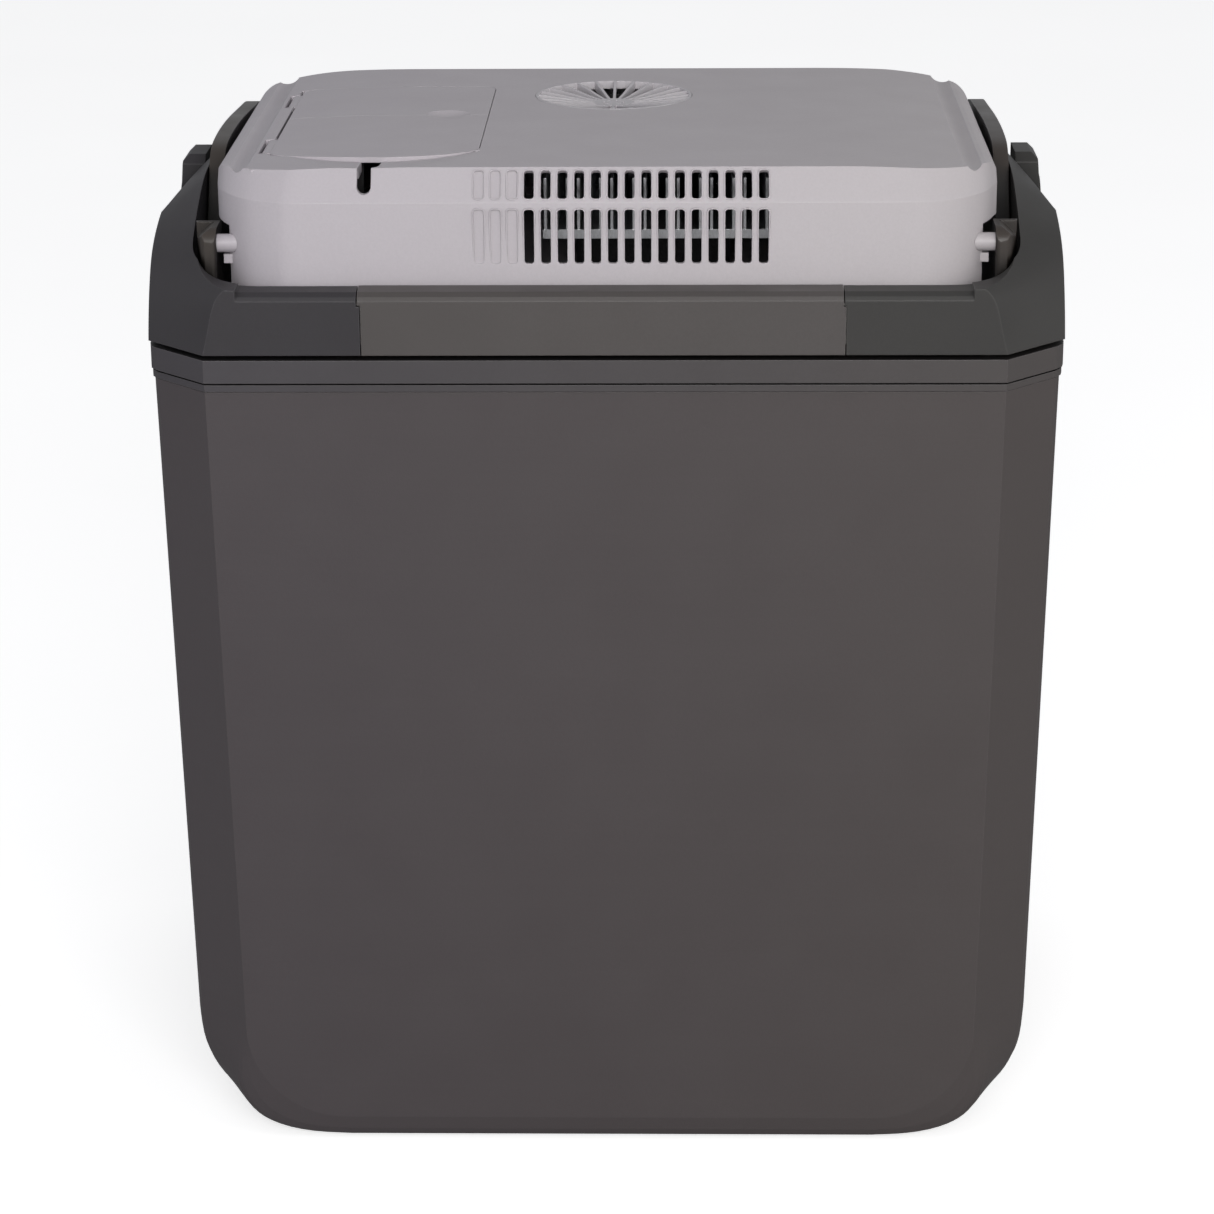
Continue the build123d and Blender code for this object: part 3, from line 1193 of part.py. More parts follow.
def cable_door(outline, y0, y1):
    """Door cut from the lid's top skin, with a knuckle from y0 to y1."""
    with BuildPart() as door:
        with BuildSketch(at_z(446.0)):
            with BuildLine():
                outline(0)
            make_face()
        extrude(amount=14.0)
        add(lid_form.part, mode=COMMON)
        add(ceiling.part, mode=CUT)
        with BuildSketch(at_y(-150)):           # eased lower edge along the hinge line
            Polygon((-149.0, 451.0), (-149.0, 453.2), (DOOR_X0, 453.2), (-146.8, 451.6),
                    (-146.8, 451.0), align=None)
        extrude(amount=-300, mode=CUT)
        with BuildSketch(at_y(y0)):             # barrel and web that join the door to its pin
            with Locations(DOOR_PIN):
                Circle(2.25)
            Polygon((DOOR_PIN_X, DOOR_PIN_Z - 1.3), (-146.0, DOOR_PIN_Z - 1.3),
                    (-146.0, 453.9), (DOOR_PIN_X, 453.84), align=None)
        extrude(amount=-(y1 - y0))
        with BuildSketch(at_y(y0 - 1)), Locations(DOOR_PIN):
            Circle(1.05)
        extrude(amount=-(y1 - y0 + 2), mode=CUT)
        with Locations((-74.5, 1.0, 481.3)):    # finger dish shared across the joint
            Sphere(27.3, mode=CUT)
    return door


save("cable_door_front", cable_door(front_door_outline, *KNUCKLES[0]))
save("cable_door_rear", cable_door(rear_door_outline, *KNUCKLES[1]))

with BuildPart() as door_hinge_pins:
    for y0, y1 in KNUCKLES:
        with BuildSketch(at_y(y0 - 5.3)), Locations(DOOR_PIN):
            Circle(1.0)
        extrude(amount=-(y1 - y0 + 10.6))
save("door_hinge_pins", door_hinge_pins)

# ---- 12 V cord coiled in the front compartment, with its plug
CORD_PITCH, CORD_TURNS = 5.4, 3
with BuildPart() as dc_cord:
    with BuildLine() as cord_path:
        Helix(pitch=CORD_PITCH, height=CORD_PITCH * CORD_TURNS, radius=20.0,
              center=(-90.0, -46.0, 414.6))
    with BuildSketch(Plane(origin=cord_path.line @ 0, z_dir=cord_path.line % 0)):
        Circle(2.2)
    sweep(path=cord_path.line, is_frenet=True)
save("dc_cord", dc_cord)

with BuildPart() as dc_plug:
    # body, collar, tip: (front end y, radius, length)
    for y, radius, length in ((-84.0, 8.2, 40.0), (-44.0, 9.8, 20.0), (-24.0, 3.6, 10.0)):
        with BuildSketch(at_y(y)), Locations((-130.0, 423.0)):
            Circle(radius)
        extrude(amount=-length)
    chamfer(dc_plug.faces().sort_by(Axis.Y)[0].edges(), 3.0)
save("dc_plug", dc_plug)

FITTING_Z0 = TRAY_FLOOR + 0.05  # underside of what stands in the rear compartment
INLET_X, INLET_FACE_Y, INLET_Z = -130.0, 35.9, 420.5
with BuildPart() as mains_inlet:
    with BuildSketch(at_z(FITTING_Z0)), Locations((INLET_X, 50.0)):
        RectangleRounded(22.0, 28.0, 3)
    extrude(amount=16.0)
    with BuildSketch(at_y(INLET_FACE_Y)), Locations((INLET_X, INLET_Z)):
        SlotOverall(15.0, 8.5)
    extrude(amount=-9.0, mode=CUT)
    with BuildSketch(at_y(INLET_FACE_Y)):       # contact pins
        with Locations((INLET_X - 3.3, INLET_Z), (INLET_X + 3.3, INLET_Z)):
            Circle(1.2)
    extrude(amount=-9.2)
save("mains_inlet", mains_inlet)

SWITCH = (-82.0, 48.0)
with BuildPart() as mode_switch:
    with BuildSketch(at_z(FITTING_Z0)), Locations(SWITCH):
        RectangleRounded(34.0, 14.0, 2)
    extrude(amount=9.0)
    with BuildSketch(at_z(414.0)), Locations(SWITCH):
        Rectangle(20.0, 5.0)
    extrude(amount=9.0, mode=CUT)
save("mode_switch", mode_switch)

with BuildPart() as mode_slider:
    with BuildSketch(at_z(414.3)), Locations(SWITCH):
        Rectangle(7.0, 4.8)
    extrude(amount=9.7)
    chamfer(mode_slider.faces().sort_by(Axis.Z)[-1].edges(), 0.7)
save("mode_slider", mode_slider)

# ---- supply board
BOARD_T = 1.6
BOARD_TOP = BOARD_Z + BOARD_T + 0.05    # seat of components and screw heads
BLOCKS = [                      # (x, y, width, depth, height)
    (112, -40, 30, 26, 24), (138, -44, 12, 30, 20), (112, -4, 18, 14, 15),
    (136, 4, 16, 4, 22), (136, 14, 10, 5, 17)]
CANS = [                        # (x, y, radius, height)
    (106, 24, 7.5, 26), (124, 26, 6.0, 20), (140, 32, 5.0, 16),
    (108, 44, 4.0, 12), (122, 45, 4.0, 12)]

with BuildPart() as power_board:
    with BuildSketch(at_z(BOARD_Z)):
        with Locations((BOARD_X, BOARD_Y)):
            Rectangle(62.0, 130.0)
        with Locations(*BOARD_HOLES):
            Circle(1.6, mode=CUT)
    extrude(amount=BOARD_T)
save("power_board", power_board)

with BuildPart() as power_components:
    for x, y, width, depth, height in BLOCKS:
        with BuildSketch(at_z(BOARD_TOP)), Locations((x, y)):
            Rectangle(width, depth)
        extrude(amount=height)
    for x, y, radius, height in CANS:
        with BuildSketch(at_z(BOARD_TOP)), Locations((x, y)):
            Circle(radius)
        extrude(amount=height)
save("power_components", power_components)

with BuildPart() as board_screws:
    for point in BOARD_HOLES:
        for z, radius, length in ((BOARD_TOP, 2.6, 1.8), (395.0, 1.4, 9.7)):
            with BuildSketch(at_z(z)), Locations(point):
                Circle(radius)
            extrude(amount=length)
save("board_screws", board_screws)
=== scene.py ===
"""Portable thermoelectric cooler: looks for its CAD pieces, lips round the lid vents, and a studio.

Metres, +Z up, X across. The box stands at the origin on the floor (z = 0), its front facing -Y.
"""

import math

import bmesh
import bpy
from mathutils import Matrix, Vector


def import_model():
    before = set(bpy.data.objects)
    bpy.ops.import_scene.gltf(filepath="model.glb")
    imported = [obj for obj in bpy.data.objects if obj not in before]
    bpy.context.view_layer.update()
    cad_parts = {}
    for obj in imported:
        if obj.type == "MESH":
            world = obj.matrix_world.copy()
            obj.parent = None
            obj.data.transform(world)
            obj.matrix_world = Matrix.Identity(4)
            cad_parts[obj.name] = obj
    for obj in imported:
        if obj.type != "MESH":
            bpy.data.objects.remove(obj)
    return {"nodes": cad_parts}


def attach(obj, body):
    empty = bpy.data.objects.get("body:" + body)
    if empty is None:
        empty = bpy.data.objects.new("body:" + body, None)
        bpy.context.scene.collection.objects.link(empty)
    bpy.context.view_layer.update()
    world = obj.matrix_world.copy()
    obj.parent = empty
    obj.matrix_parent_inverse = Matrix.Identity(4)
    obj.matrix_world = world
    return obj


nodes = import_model()["nodes"]
MM = 0.001


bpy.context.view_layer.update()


def link_object(name, data):
    obj = bpy.data.objects.new(name, data)
    bpy.context.scene.collection.objects.link(obj)
    return obj


# ---------------------------------------------------------------- shader node helpers
class Tree:
    """Makes and links the shader nodes of a material or world."""

    def __init__(self, owner):
        self.owner = owner
        owner.use_nodes = True
        self.nodes = owner.node_tree.nodes
        self.links = owner.node_tree.links

    def fill(self, node, inputs):
        """Links each input to a socket, or sets it to a value; colours get an alpha of 1."""
        for key, value in inputs.items():
            socket = node.inputs[key]
            if isinstance(value, bpy.types.NodeSocket):
                self.links.new(value, socket)
            elif socket.type == "RGBA":
                socket.default_value = (*value, 1)
            else:
                socket.default_value = value

    def node(self, kind, inputs=None, **props):
        node = self.nodes.new(kind)
        for prop, value in props.items():
            setattr(node, prop, value)
        self.fill(node, inputs or {})
        return node

    def coords(self, scale=(1, 1, 1)):
        source = self.node("ShaderNodeTexCoord")
        inputs = {"Scale": scale, "Vector": source.outputs["Object"]}
        return self.node("ShaderNodeMapping", inputs).outputs["Vector"]

    def noise(self, vector, scale, detail=2.0, roughness=0.5, distortion=0.0):
        inputs = {"Scale": scale, "Detail": detail, "Roughness": roughness,
                  "Distortion": distortion, "Vector": vector}
        return self.node("ShaderNodeTexNoise", inputs).outputs["Fac"]

    def remap(self, value, span, to=(0.0, 1.0)):
        """Maps the range span linearly onto the range to, clamped."""
        inputs = {"From Min": span[0], "From Max": span[1],
                  "To Min": to[0], "To Max": to[1], "Value": value}
        return self.node("ShaderNodeMapRange", inputs).outputs["Result"]

    def math(self, operation, a, b):
        return self.node("ShaderNodeMath", {0: a, 1: b}, operation=operation).outputs[0]

    def mix(self, factor, a, b, mode="MIX"):
        # inputs 6 and 7 and output 2 are the colour sockets
        inputs = {0: factor, 6: a, 7: b}
        return self.node("ShaderNodeMix", inputs, data_type="RGBA", blend_type=mode).outputs[2]

    def edge(self, radius, samples):
        """Rounded normal at crisp edges, and a mask that is 1 on them."""
        rounded = self.node("ShaderNodeBevel", {"Radius": radius}, samples=samples).outputs[0]
        flat = self.node("ShaderNodeNewGeometry").outputs["Normal"]
        dot = self.node("ShaderNodeVectorMath", {0: rounded, 1: flat}, operation="DOT_PRODUCT")
        return rounded, self.remap(dot.outputs["Value"], span=(0.995, 0.90))

    def bump(self, height, strength, distance, normal=None):
        inputs = {"Strength": strength, "Distance": distance, "Height": height}
        if normal is not None:
            inputs["Normal"] = normal
        return self.node("ShaderNodeBump", inputs).outputs[0]

    def finish(self, shader):
        self.links.new(shader.outputs[0], self.output.inputs["Surface"])
        return self.owner


def material_tree(name):
    t = Tree(bpy.data.materials.new(name))
    t.nodes.clear()
    t.output = t.node("ShaderNodeOutputMaterial")
    return t


def linear(srgb):
    """Linear colour from 8-bit sRGB."""
    parts = [c / 255 for c in srgb]
    return tuple(c / 12.92 if c <= 0.04045 else ((c + 0.055) / 1.055) ** 2.4 for c in parts)


def scaled(rgb, gain, lift=0.0):
    return tuple(min(1, c * gain + lift) for c in rgb)


# ---------------------------------------------------------------- kinds of material
def pigment_and_side_light(t, vector, base, patch, painted_side_light, streak):
    """Slow drift from the mould, fine speckle, a painted side light across X and streaks along X
    and Y.
    """
    drift = t.noise(vector, scale=9.0, detail=3.0, roughness=0.55)
    speckle = t.noise(vector, scale=900.0, detail=2.0, roughness=0.6)
    colour = t.mix(t.remap(drift, span=(0.3, 0.7)),
                   scaled(base, gain=1 - patch), scaled(base, gain=1 + patch))
    colour = t.mix(t.remap(speckle, span=(0.35, 0.65), to=(0.0, 0.5)),
                   colour, scaled(base, gain=0.93))
    # painted side light: a cool, darker tint to the left and a warm, lighter one to the right stand
    # in for uneven light
    if painted_side_light:
        half = painted_side_light["half_width"]
        across = t.node("ShaderNodeSeparateXYZ", {0: vector}).outputs["X"]
        side = t.remap(across, span=(-half, half))
        side_light = t.mix(side, painted_side_light["left"], painted_side_light["right"])
        colour = t.mix(1.0, colour, side_light, mode="MULTIPLY")
    if streak:
        lines = t.noise(t.coords(scale=(3.0, 3.0, 120.0)), scale=2.0, detail=4.0, roughness=0.6)
        colour = t.mix(t.remap(lines, span=(0.45, 0.75), to=(0.0, streak)),
                       colour, scaled(base, gain=1.12))
    return colour


def scuffed(t, vector, base, colour, scuffs):
    """Pale scuffs drawn out along Z, in patches."""
    marks = t.noise(t.coords(scale=(260.0, 260.0, 30.0)),
                    scale=1.0, detail=5.0, roughness=0.7, distortion=0.4)
    mask = t.remap(marks, span=(0.66, 0.74), to=(0.0, scuffs))
    patches = t.remap(t.noise(vector, scale=14.0, detail=1.0), span=(0.52, 0.66))
    return t.mix(t.math("MULTIPLY", mask, patches), colour, scaled(base, gain=1.5, lift=0.01))


def moulded(name, srgb, rough, grain, grain_scale, patch, bevel, edge_highlight_gain, spec=0.45,
            streak=0.0, scuffs=0.0, painted_side_light=None, gap_shade=0.0, reach=0.0):
    """Injection-moulded plastic: spark-eroded grain, colour drift, glossier edges with a painted
    highlight, painted shade in narrow gaps.

    grain is the bump strength, patch the colour drift as a share, bevel the radius of the
    shaded edges in mm and edge_highlight_gain the brightness of their painted highlight.
    gap_shade is the strength of the painted shade in narrow gaps and reach how far, in mm,
    a surface shades them.
    """
    t = material_tree(name)
    base = linear(srgb)
    vector = t.coords()
    surface = t.node("ShaderNodeBsdfPrincipled")
    colour = pigment_and_side_light(t, vector, base, patch, painted_side_light, streak)
    fine = t.noise(vector, scale=grain_scale, detail=3.0, roughness=0.55)
    coarse = t.noise(vector, scale=grain_scale * 0.33, detail=2.0, roughness=0.5)
    height = t.math("ADD", fine, t.math("MULTIPLY", coarse, 0.6))
    if scuffs:
        colour = scuffed(t, vector, base, colour, scuffs)
    edge_normal, edge_mask = t.edge(bevel * MM, samples=6)
    normal = t.bump(height, strength=grain, distance=0.00025, normal=edge_normal)
    # edges get a painted highlight: a lighter colour; they are also a little glossier
    colour = t.mix(t.math("MULTIPLY", edge_mask, 0.75),
                   colour, scaled(base, gain=edge_highlight_gain, lift=0.004))
    if gap_shade:
        # painted shade: colour darkened by ambient occlusion in narrow gaps
        occlusion = t.node("ShaderNodeAmbientOcclusion", {"Distance": reach * MM}, samples=8)
        painted_gap_shade = t.remap(occlusion.outputs["AO"], span=(0.25, 0.95), to=(gap_shade, 0.0))
        colour = t.mix(painted_gap_shade, colour, scaled(base, gain=0.08))
    roughness = t.remap(t.noise(vector, scale=40.0, detail=3.0),
                        span=(0.3, 0.7), to=(rough - 0.04, rough + 0.05))
    roughness = t.math("SUBTRACT", roughness, t.math("MULTIPLY", edge_mask, 0.08))
    t.fill(surface, {"Base Color": colour, "Roughness": roughness, "Normal": normal,
                     "Specular IOR Level": spec})
    return t.finish(surface)


def metal(name, rgb, rough, line_scale, anisotropy, bump):
    """Metal with fine noise lines; line_scale is the noise frequency along X, Y and Z."""
    t = material_tree(name)
    surface = t.node("ShaderNodeBsdfPrincipled")
    lines = t.noise(t.coords(scale=line_scale), scale=1.0, detail=4.0, roughness=0.65)
    blotches = t.noise(t.coords(), scale=60.0, detail=3.0)
    colour = t.mix(t.remap(lines, span=(0.3, 0.7)),
                   scaled(rgb, gain=0.82), scaled(rgb, gain=1.08))
    colour = t.mix(t.remap(blotches, span=(0.4, 0.8), to=(0, 0.35)),
                   colour, scaled(rgb, gain=0.7))
    edge_normal, _ = t.edge(0.2 * MM, samples=4)
    normal = t.bump(lines, strength=bump, distance=0.0002, normal=edge_normal)
    roughness = t.remap(lines, span=(0.3, 0.7), to=(rough - 0.07, rough + 0.12))
    t.fill(surface, {"Base Color": colour, "Roughness": roughness, "Metallic": 1.0,
                     "Anisotropic": anisotropy, "Normal": normal})
    return t.finish(surface)


def cellular(name, srgb, cell_scale, bump):
    """Closed-cell foam."""
    t = material_tree(name)
    base = linear(srgb)
    surface = t.node("ShaderNodeBsdfPrincipled")
    voronoi = t.node("ShaderNodeTexVoronoi", {"Scale": cell_scale})
    t.fill(voronoi, {"Vector": t.coords()})
    cells = voronoi.outputs["Distance"]
    drift = t.noise(t.coords(), scale=14.0, detail=3.0)
    colour = t.mix(t.remap(drift, span=(0.3, 0.7)), scaled(base, gain=0.9), base)
    colour = t.mix(t.remap(cells, span=(0.0, 0.6), to=(0.35, 0.0)),
                   colour, scaled(base, gain=0.75))
    normal = t.bump(cells, strength=bump, distance=0.0006)
    t.fill(surface, {"Base Color": colour, "Roughness": 0.85, "Normal": normal})
    return t.finish(surface)


def board(name):
    """Green circuit board with copper tracks under the mask."""
    t = material_tree(name)
    surface = t.node("ShaderNodeBsdfPrincipled")
    tracks = t.node("ShaderNodeTexBrick", {
        "Scale": 70.0, "Mortar Size": 0.06, "Color1": (0.01, 0.10, 0.035),
        "Color2": (0.012, 0.13, 0.045), "Mortar": (0.05, 0.24, 0.07)})
    t.fill(tracks, {"Vector": t.coords()})
    drift = t.noise(t.coords(), scale=50.0, detail=3.0)
    colour = t.mix(t.remap(drift, span=(0.35, 0.65), to=(0, 0.4)),
                   tracks.outputs["Color"], (0.008, 0.07, 0.03))
    normal = t.bump(tracks.outputs["Fac"], strength=0.3, distance=0.0003)
    roughness = t.remap(drift, span=(0.3, 0.7), to=(0.25, 0.4))
    t.fill(surface, {"Base Color": colour, "Roughness": roughness, "Normal": normal})
    return t.finish(surface)


# ---------------------------------------------------------------- materials
# painted side light: colour cooler and darker towards -X (left), warmer and lighter towards +X;
# half_width in metres
BODY_SIDE_LIGHT = dict(left=(0.95, 0.94, 1.02), right=(1.03, 1.02, 1.0), half_width=0.2)
RIM_SIDE_LIGHT = dict(left=(0.86, 0.86, 0.95), right=(1.05, 1.02, 0.97), half_width=0.2)
LID_SIDE_LIGHT = dict(left=(0.995, 0.985, 1.01), right=(1.01, 1.005, 0.985), half_width=0.17)
# finish shared by the handle, and by its two arms
HANDLE = dict(rough=0.44, grain=0.12, grain_scale=1400, patch=0.05)
ARM = dict(HANDLE, bevel=0.9, edge_highlight_gain=1.8, spec=0.3, gap_shade=0.8, reach=16.0)

materials = {
    "body": moulded("body_moulding", (74, 69, 69), rough=0.46, grain=0.16, grain_scale=1300,
                    patch=0.02, bevel=0.7, edge_highlight_gain=1.5, streak=0.12, scuffs=0.22,
                    painted_side_light=BODY_SIDE_LIGHT),
    "rim": moulded("rim_moulding", (73, 70, 71), rough=0.42, grain=0.10, grain_scale=1300,
                   patch=0.04, bevel=0.5, edge_highlight_gain=1.7, painted_side_light=RIM_SIDE_LIGHT,
                   gap_shade=0.9, reach=5.0),
    # one moulding for both arms: the left copy is painted darker and cooler as shade, the right
    # warmer as light
    "arm_left": moulded("handle_moulding_left_painted_shade", (56, 54, 57), **ARM),
    "arm_right": moulded("handle_moulding_right_painted_light", (59, 58, 57), **ARM),
    "grip": moulded("handle_moulding_grip", (77, 73, 72), **HANDLE, bevel=0.6, edge_highlight_gain=1.5),
    "cheek": moulded("cheek_moulding", (66, 60, 56), rough=0.36, grain=0.08, grain_scale=1100,
                     patch=0.05, bevel=0.9, edge_highlight_gain=1.3, spec=0.4, gap_shade=1.0, reach=40.0),
    "lid": moulded("lid_moulding", (188, 183, 187), rough=0.42, grain=0.12, grain_scale=1500,
                   patch=0.015, bevel=0.6, edge_highlight_gain=1.10, painted_side_light=LID_SIDE_LIGHT),
    "grille": moulded("grille_moulding", (196, 192, 196), rough=0.38, grain=0.08,
                      grain_scale=1500, patch=0.015, bevel=0.35, edge_highlight_gain=1.12),
    "liner": moulded("liner_moulding", (214, 214, 216), rough=0.30, grain=0.04,
                     grain_scale=900, patch=0.02, bevel=0.8, edge_highlight_gain=1.05),
    "dark": moulded("dark_moulding", (38, 37, 39), rough=0.48, grain=0.12, grain_scale=1200,
                    patch=0.08, bevel=0.4, edge_highlight_gain=1.8),
    "rubber": moulded("soft_rubber", (30, 30, 32), rough=0.72, grain=0.3, grain_scale=900,
                      patch=0.12, bevel=0.6, edge_highlight_gain=1.6, spec=0.3),
    "grip_pad": moulded("grip_rubber", (44, 43, 44), rough=0.68, grain=0.35, grain_scale=700,
                        patch=0.1, bevel=0.5, edge_highlight_gain=1.5, spec=0.3),
    "cord": moulded("cord_sheath", (26, 26, 28), rough=0.42, grain=0.08, grain_scale=600,
                    patch=0.1, bevel=0.2, edge_highlight_gain=1.4),
    "steel": metal("zinc_plated_steel", (0.58, 0.57, 0.55), rough=0.32,
                   line_scale=(300, 300, 300), anisotropy=0.2, bump=0.08),
    "aluminium": metal("extruded_aluminium", (0.72, 0.73, 0.75), rough=0.33,
                       line_scale=(1200, 30, 420), anisotropy=0.6, bump=0.15),
    "ceramic": moulded("alumina_ceramic", (232, 229, 222), rough=0.25, grain=0.05,
                       grain_scale=2000, patch=0.02, bevel=0.2, edge_highlight_gain=1.02),
    "foam": cellular("pour_in_place_foam", (222, 208, 165), cell_scale=420.0, bump=0.5),
    "stack_foam": cellular("stack_foam", (40, 40, 42), cell_scale=700, bump=0.35),
    "board": board("circuit_board"),
    "resin": moulded("component_resin", (28, 28, 34), rough=0.32, grain=0.05,
                     grain_scale=1500, patch=0.3, bevel=0.4, edge_highlight_gain=1.8),
}
# CAD pieces made of each material
PIECES = {
    "body": ["outer_shell"],
    "rim": ["rim_collar"],
    "arm_left": ["handle_arm_left"],
    "arm_right": ["handle_arm_right"],
    "grip": ["handle_grip", "pivot_caps"],
    "cheek": ["side_cheek_left", "side_cheek_right"],
    "lid": ["lid_top_cover", "lid_base", "cable_door_front", "cable_door_rear",
            "lid_hinge_pins", "mode_slider"],
    "grille": ["fan_grille"],
    "liner": ["inner_liner", "lid_plug", "cold_air_guard"],
    "dark": ["cable_tray", "hot_fan_frame", "hot_fan_rotor", "cold_fan_frame",
             "cold_fan_rotor", "dc_plug", "mains_inlet", "mode_switch"],
    "rubber": ["feet", "lid_gasket"],
    "grip_pad": ["grip_backing"],
    "cord": ["dc_cord"],
    "steel": ["cheek_screws", "pivot_screws", "handle_core_bar", "grip_screws", "lid_screws",
              "stack_bolts", "fan_screws", "guard_screws", "board_screws", "door_hinge_pins"],
    "aluminium": ["hot_sink", "cold_sink", "cold_block"],
    "ceramic": ["peltier_module"],
    "foam": ["foam_core", "lid_foam"],
    "stack_foam": ["stack_insulation"],
    "board": ["power_board"],
    "resin": ["power_components"],
}


def assign_materials():
    material_of = {piece: materials[key] for key, pieces in PIECES.items() for piece in pieces}
    for name, obj in nodes.items():
        obj.data.materials.clear()
        obj.data.materials.append(material_of[name])
        for face in obj.data.polygons:
            face.material_index = 0


assign_materials()


# ---------------------------------------------------------------- raised lips round the vents
# all in mm; the vents stand in two rows on the front of the lid
VENT_COUNT = 18
VENT_PITCH = 7.2
FIRST_VENT_X = -53.9
VENT_HALF_WIDTH = 2.1
VENT_CORNER = 1.35
LIP_OFFSET = 0.42  # from the vent's outline to the lip's centre line
CORNER_STEPS = 5
# each row: centre (y, z), outward normal, half height of a vent
VENT_ROWS = (
    ((-129.23, 427.2), (0.0, -0.99988, -0.01577), 11.8),
    ((-124.80, 449.02), (0.0, -0.85805, 0.51358), 6.3),
)
# lip section: (away from the vent, out of the face)
LIP_SECTION = [(-0.42, -0.12), (-0.36, 0.16), (-0.16, 0.30),
               (0.10, 0.30), (0.30, 0.14), (0.36, -0.12)]


def rounded_path(half_width, half_height, radius):
    """Anticlockwise outline of a rectangle with round corners."""
    x, y = half_width - radius, half_height - radius
    points = []
    for corner_x, corner_y, start in ((x, y, 0), (-x, y, 90), (-x, -y, 180), (x, -y, 270)):
        for k in range(CORNER_STEPS + 1):
            angle = math.radians(start + 90 * k / CORNER_STEPS)
            points.append((corner_x + radius * math.cos(angle),
                           corner_y + radius * math.sin(angle)))
    return points


def add_lip(bm, centre, normal, half_height):
    """Sweeps the lip section round one vent."""
    across = Vector((1, 0, 0))
    upward = normal.cross(across)
    path = rounded_path(VENT_HALF_WIDTH + LIP_OFFSET, half_height + LIP_OFFSET,
                        VENT_CORNER + LIP_OFFSET)
    rings = []
    for k, (x, y) in enumerate(path):
        next_x, next_y = path[(k + 1) % len(path)]
        last_x, last_y = path[k - 1]
        along_x, along_y = next_x - last_x, next_y - last_y
        length = math.hypot(along_x, along_y)
        away_x, away_y = along_y / length, -along_x / length
        rings.append([
            bm.verts.new((centre + across * (x + away_x * away)
                          + upward * (y + away_y * away) + normal * out) * MM)
            for away, out in LIP_SECTION])
    count = len(LIP_SECTION)
    for k, ring in enumerate(rings):
        after = rings[(k + 1) % len(rings)]
        for i in range(count):
            j = (i + 1) % count
            bm.faces.new((ring[i], ring[j], after[j], after[i]))


def vent_lips():
    """One closed half-round bead round every vent, the blind ones too."""
    bm = bmesh.new()
    for (y, z), normal, half_height in VENT_ROWS:
        for i in range(VENT_COUNT):
            centre = Vector((FIRST_VENT_X + VENT_PITCH * i, y, z))
            add_lip(bm, centre, Vector(normal), half_height)
    bmesh.ops.recalc_face_normals(bm, faces=bm.faces[:])
    mesh = bpy.data.meshes.new("vent_lips")
    bm.to_mesh(mesh)
    bm.free()
    for face in mesh.polygons:
        face.use_smooth = True
    lips = link_object("vent_lips", mesh)
    mesh.materials.append(materials["lid"])
    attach(lips, "lid")


vent_lips()


# ---------------------------------------------------------------- floor
def floor_material():
    """Glows pale to the camera, but is a dim grey to every other ray."""
    t = material_tree("pale_floor")
    cloud = t.remap(t.noise(t.coords(), scale=3.0, detail=2.0), span=(0.3, 0.7))
    colour = t.mix(cloud, (0.80, 0.80, 0.80), (0.82, 0.82, 0.82))
    pale = t.node("ShaderNodeBsdfDiffuse", {"Color": colour})
    glow = t.node("ShaderNodeEmission", {"Color": (1, 1, 1), "Strength": 0.60})
    dim = t.node("ShaderNodeBsdfDiffuse", {"Color": (0.42, 0.42, 0.42)})
    seen = t.node("ShaderNodeAddShader", {0: pale.outputs[0], 1: glow.outputs[0]})
    is_camera = t.node("ShaderNodeLightPath").outputs["Is Camera Ray"]
    inputs = {0: is_camera, 1: dim.outputs[0], 2: seen.outputs[0]}
    return t.finish(t.node("ShaderNodeMixShader", inputs))


def floor():
    left, right, front, back = -14, 14, -10, 24
    corners = [(left, front, 0), (right, front, 0), (right, back, 0), (left, back, 0)]
    mesh = bpy.data.meshes.new("studio_floor")
    mesh.from_pydata(corners, [], [(0, 1, 2, 3)])
    obj = link_object("studio_floor", mesh)
    mesh.materials.append(floor_material())


floor()


# ---------------------------------------------------------------- lights
def area_light(name, place, target_z, size, power, colour):
    """Rectangular light aimed at a point on the Z axis."""
    light = bpy.data.lights.new(name, "AREA")
    light.shape = "RECTANGLE"
    light.size, light.size_y = size
    light.energy = power
    light.color = colour
    light.spread = math.pi
    obj = link_object(name, light)
    obj.location = place
    aim = Vector((0, 0, target_z)) - Vector(place)
    obj.rotation_euler = aim.to_track_quat("-Z", "Y").to_euler()


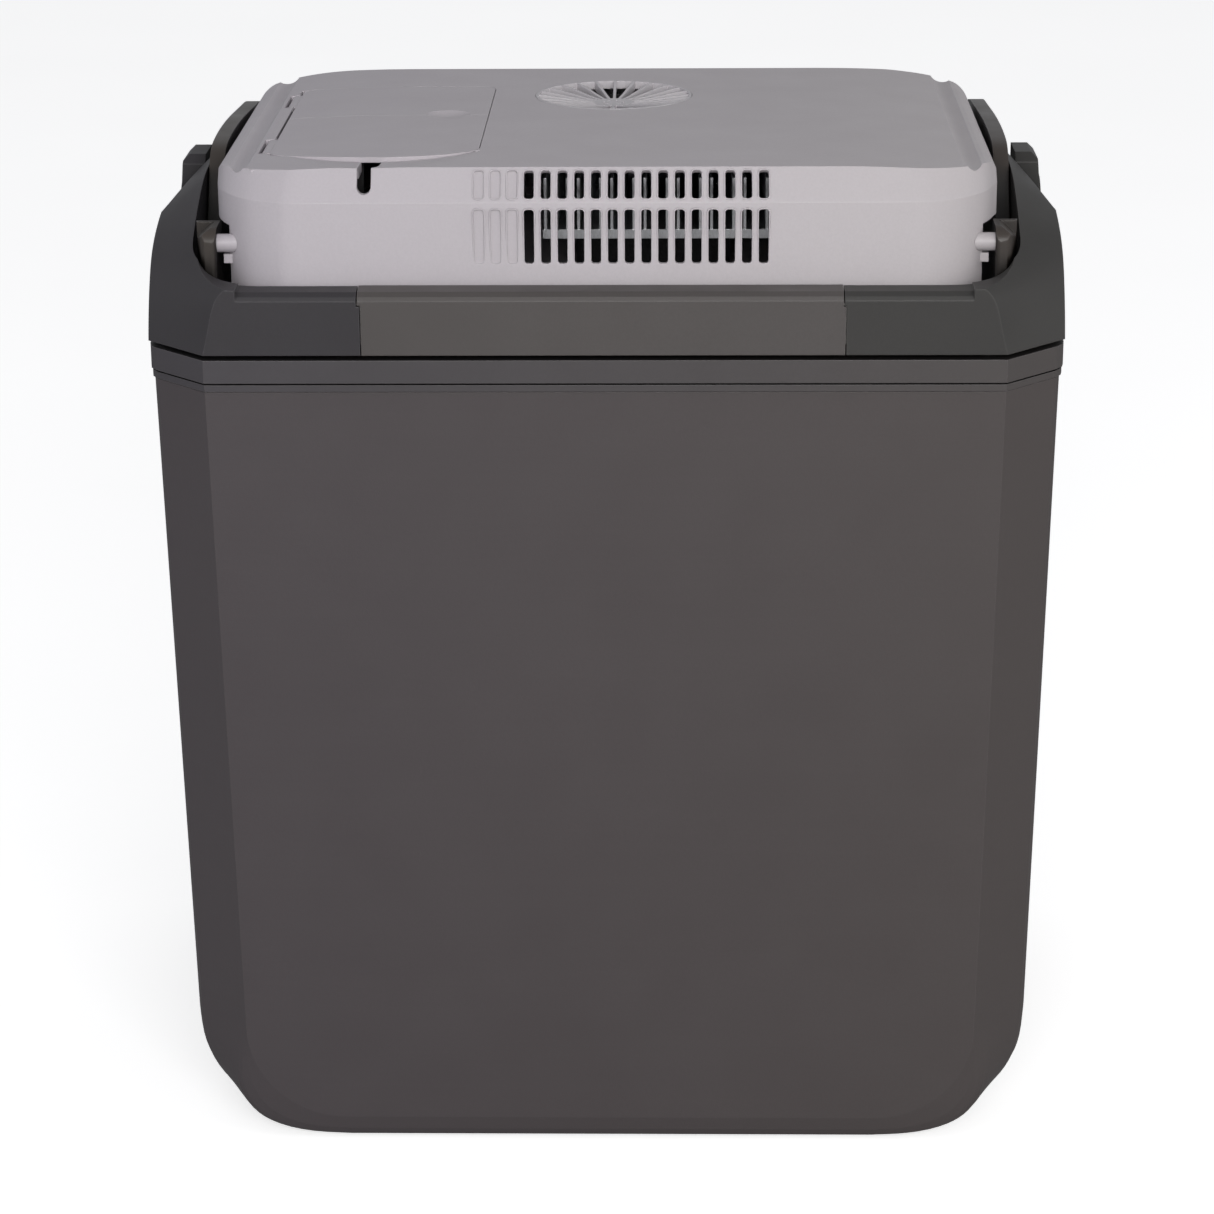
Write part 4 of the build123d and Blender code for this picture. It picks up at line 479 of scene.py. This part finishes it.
area_light("key", place=(0.35, -3.0, 1.45), target_z=0.28, size=(2.2, 1.3), power=62,
           colour=(1.0, 0.99, 0.975))
area_light("fill_left", place=(-2.4, -1.6, 0.9), target_z=0.3, size=(1.5, 1.3), power=9,
           colour=(0.93, 0.95, 1.0))
area_light("side_right", place=(2.5, -0.9, 0.95), target_z=0.32, size=(1.4, 1.2), power=12,
           colour=(1.0, 0.985, 0.96))


def studio_world():
    """Softer from above than from the horizon, as in a tent of white cloth."""
    world = bpy.data.worlds.new("studio")
    bpy.context.scene.world = world
    t = Tree(world)
    background = t.nodes["Background"]
    # this strength holds only if the gradient is unlinked
    t.fill(background, {"Color": (0.96, 0.97, 1.0), "Strength": 0.40})
    direction = t.node("ShaderNodeTexCoord").outputs["Generated"]
    rise = t.node("ShaderNodeSeparateXYZ", {0: direction}).outputs["Z"]
    t.fill(background, {"Strength": t.remap(rise, span=(0.05, 0.95), to=(0.46, 0.31))})


studio_world()

# ---------------------------------------------------------------- camera
SENSOR_WIDTH = 36.0  # mm
FOCAL_LENGTH = 104.441516  # mm
CAMERA_PLACE = (0.034, -1.613, 0.760)
# degrees: yaw from +Y towards -X, pitch downwards, roll about the view axis
YAW, PITCH, ROLL = 1.31, 18.64, -0.41


def camera():
    data = bpy.data.cameras.new("camera")
    obj = link_object("camera", data)
    data.sensor_width = SENSOR_WIDTH
    data.lens = FOCAL_LENGTH
    data.clip_end = 60
    yaw, pitch, roll = (math.radians(angle) for angle in (YAW, PITCH, ROLL))
    forward = Vector((-math.sin(yaw) * math.cos(pitch), math.cos(yaw) * math.cos(pitch),
                      -math.sin(pitch)))
    level = Vector((math.cos(yaw), math.sin(yaw), 0))
    upright = level.cross(forward)
    right = math.cos(roll) * level + math.sin(roll) * upright
    up = -math.sin(roll) * level + math.cos(roll) * upright
    pose = Matrix((right, up, -forward)).transposed().to_4x4()
    pose.translation = Vector(CAMERA_PLACE)
    obj.matrix_world = pose
    bpy.context.scene.camera = obj


camera()
bpy.context.scene.view_settings.view_transform = "Standard"
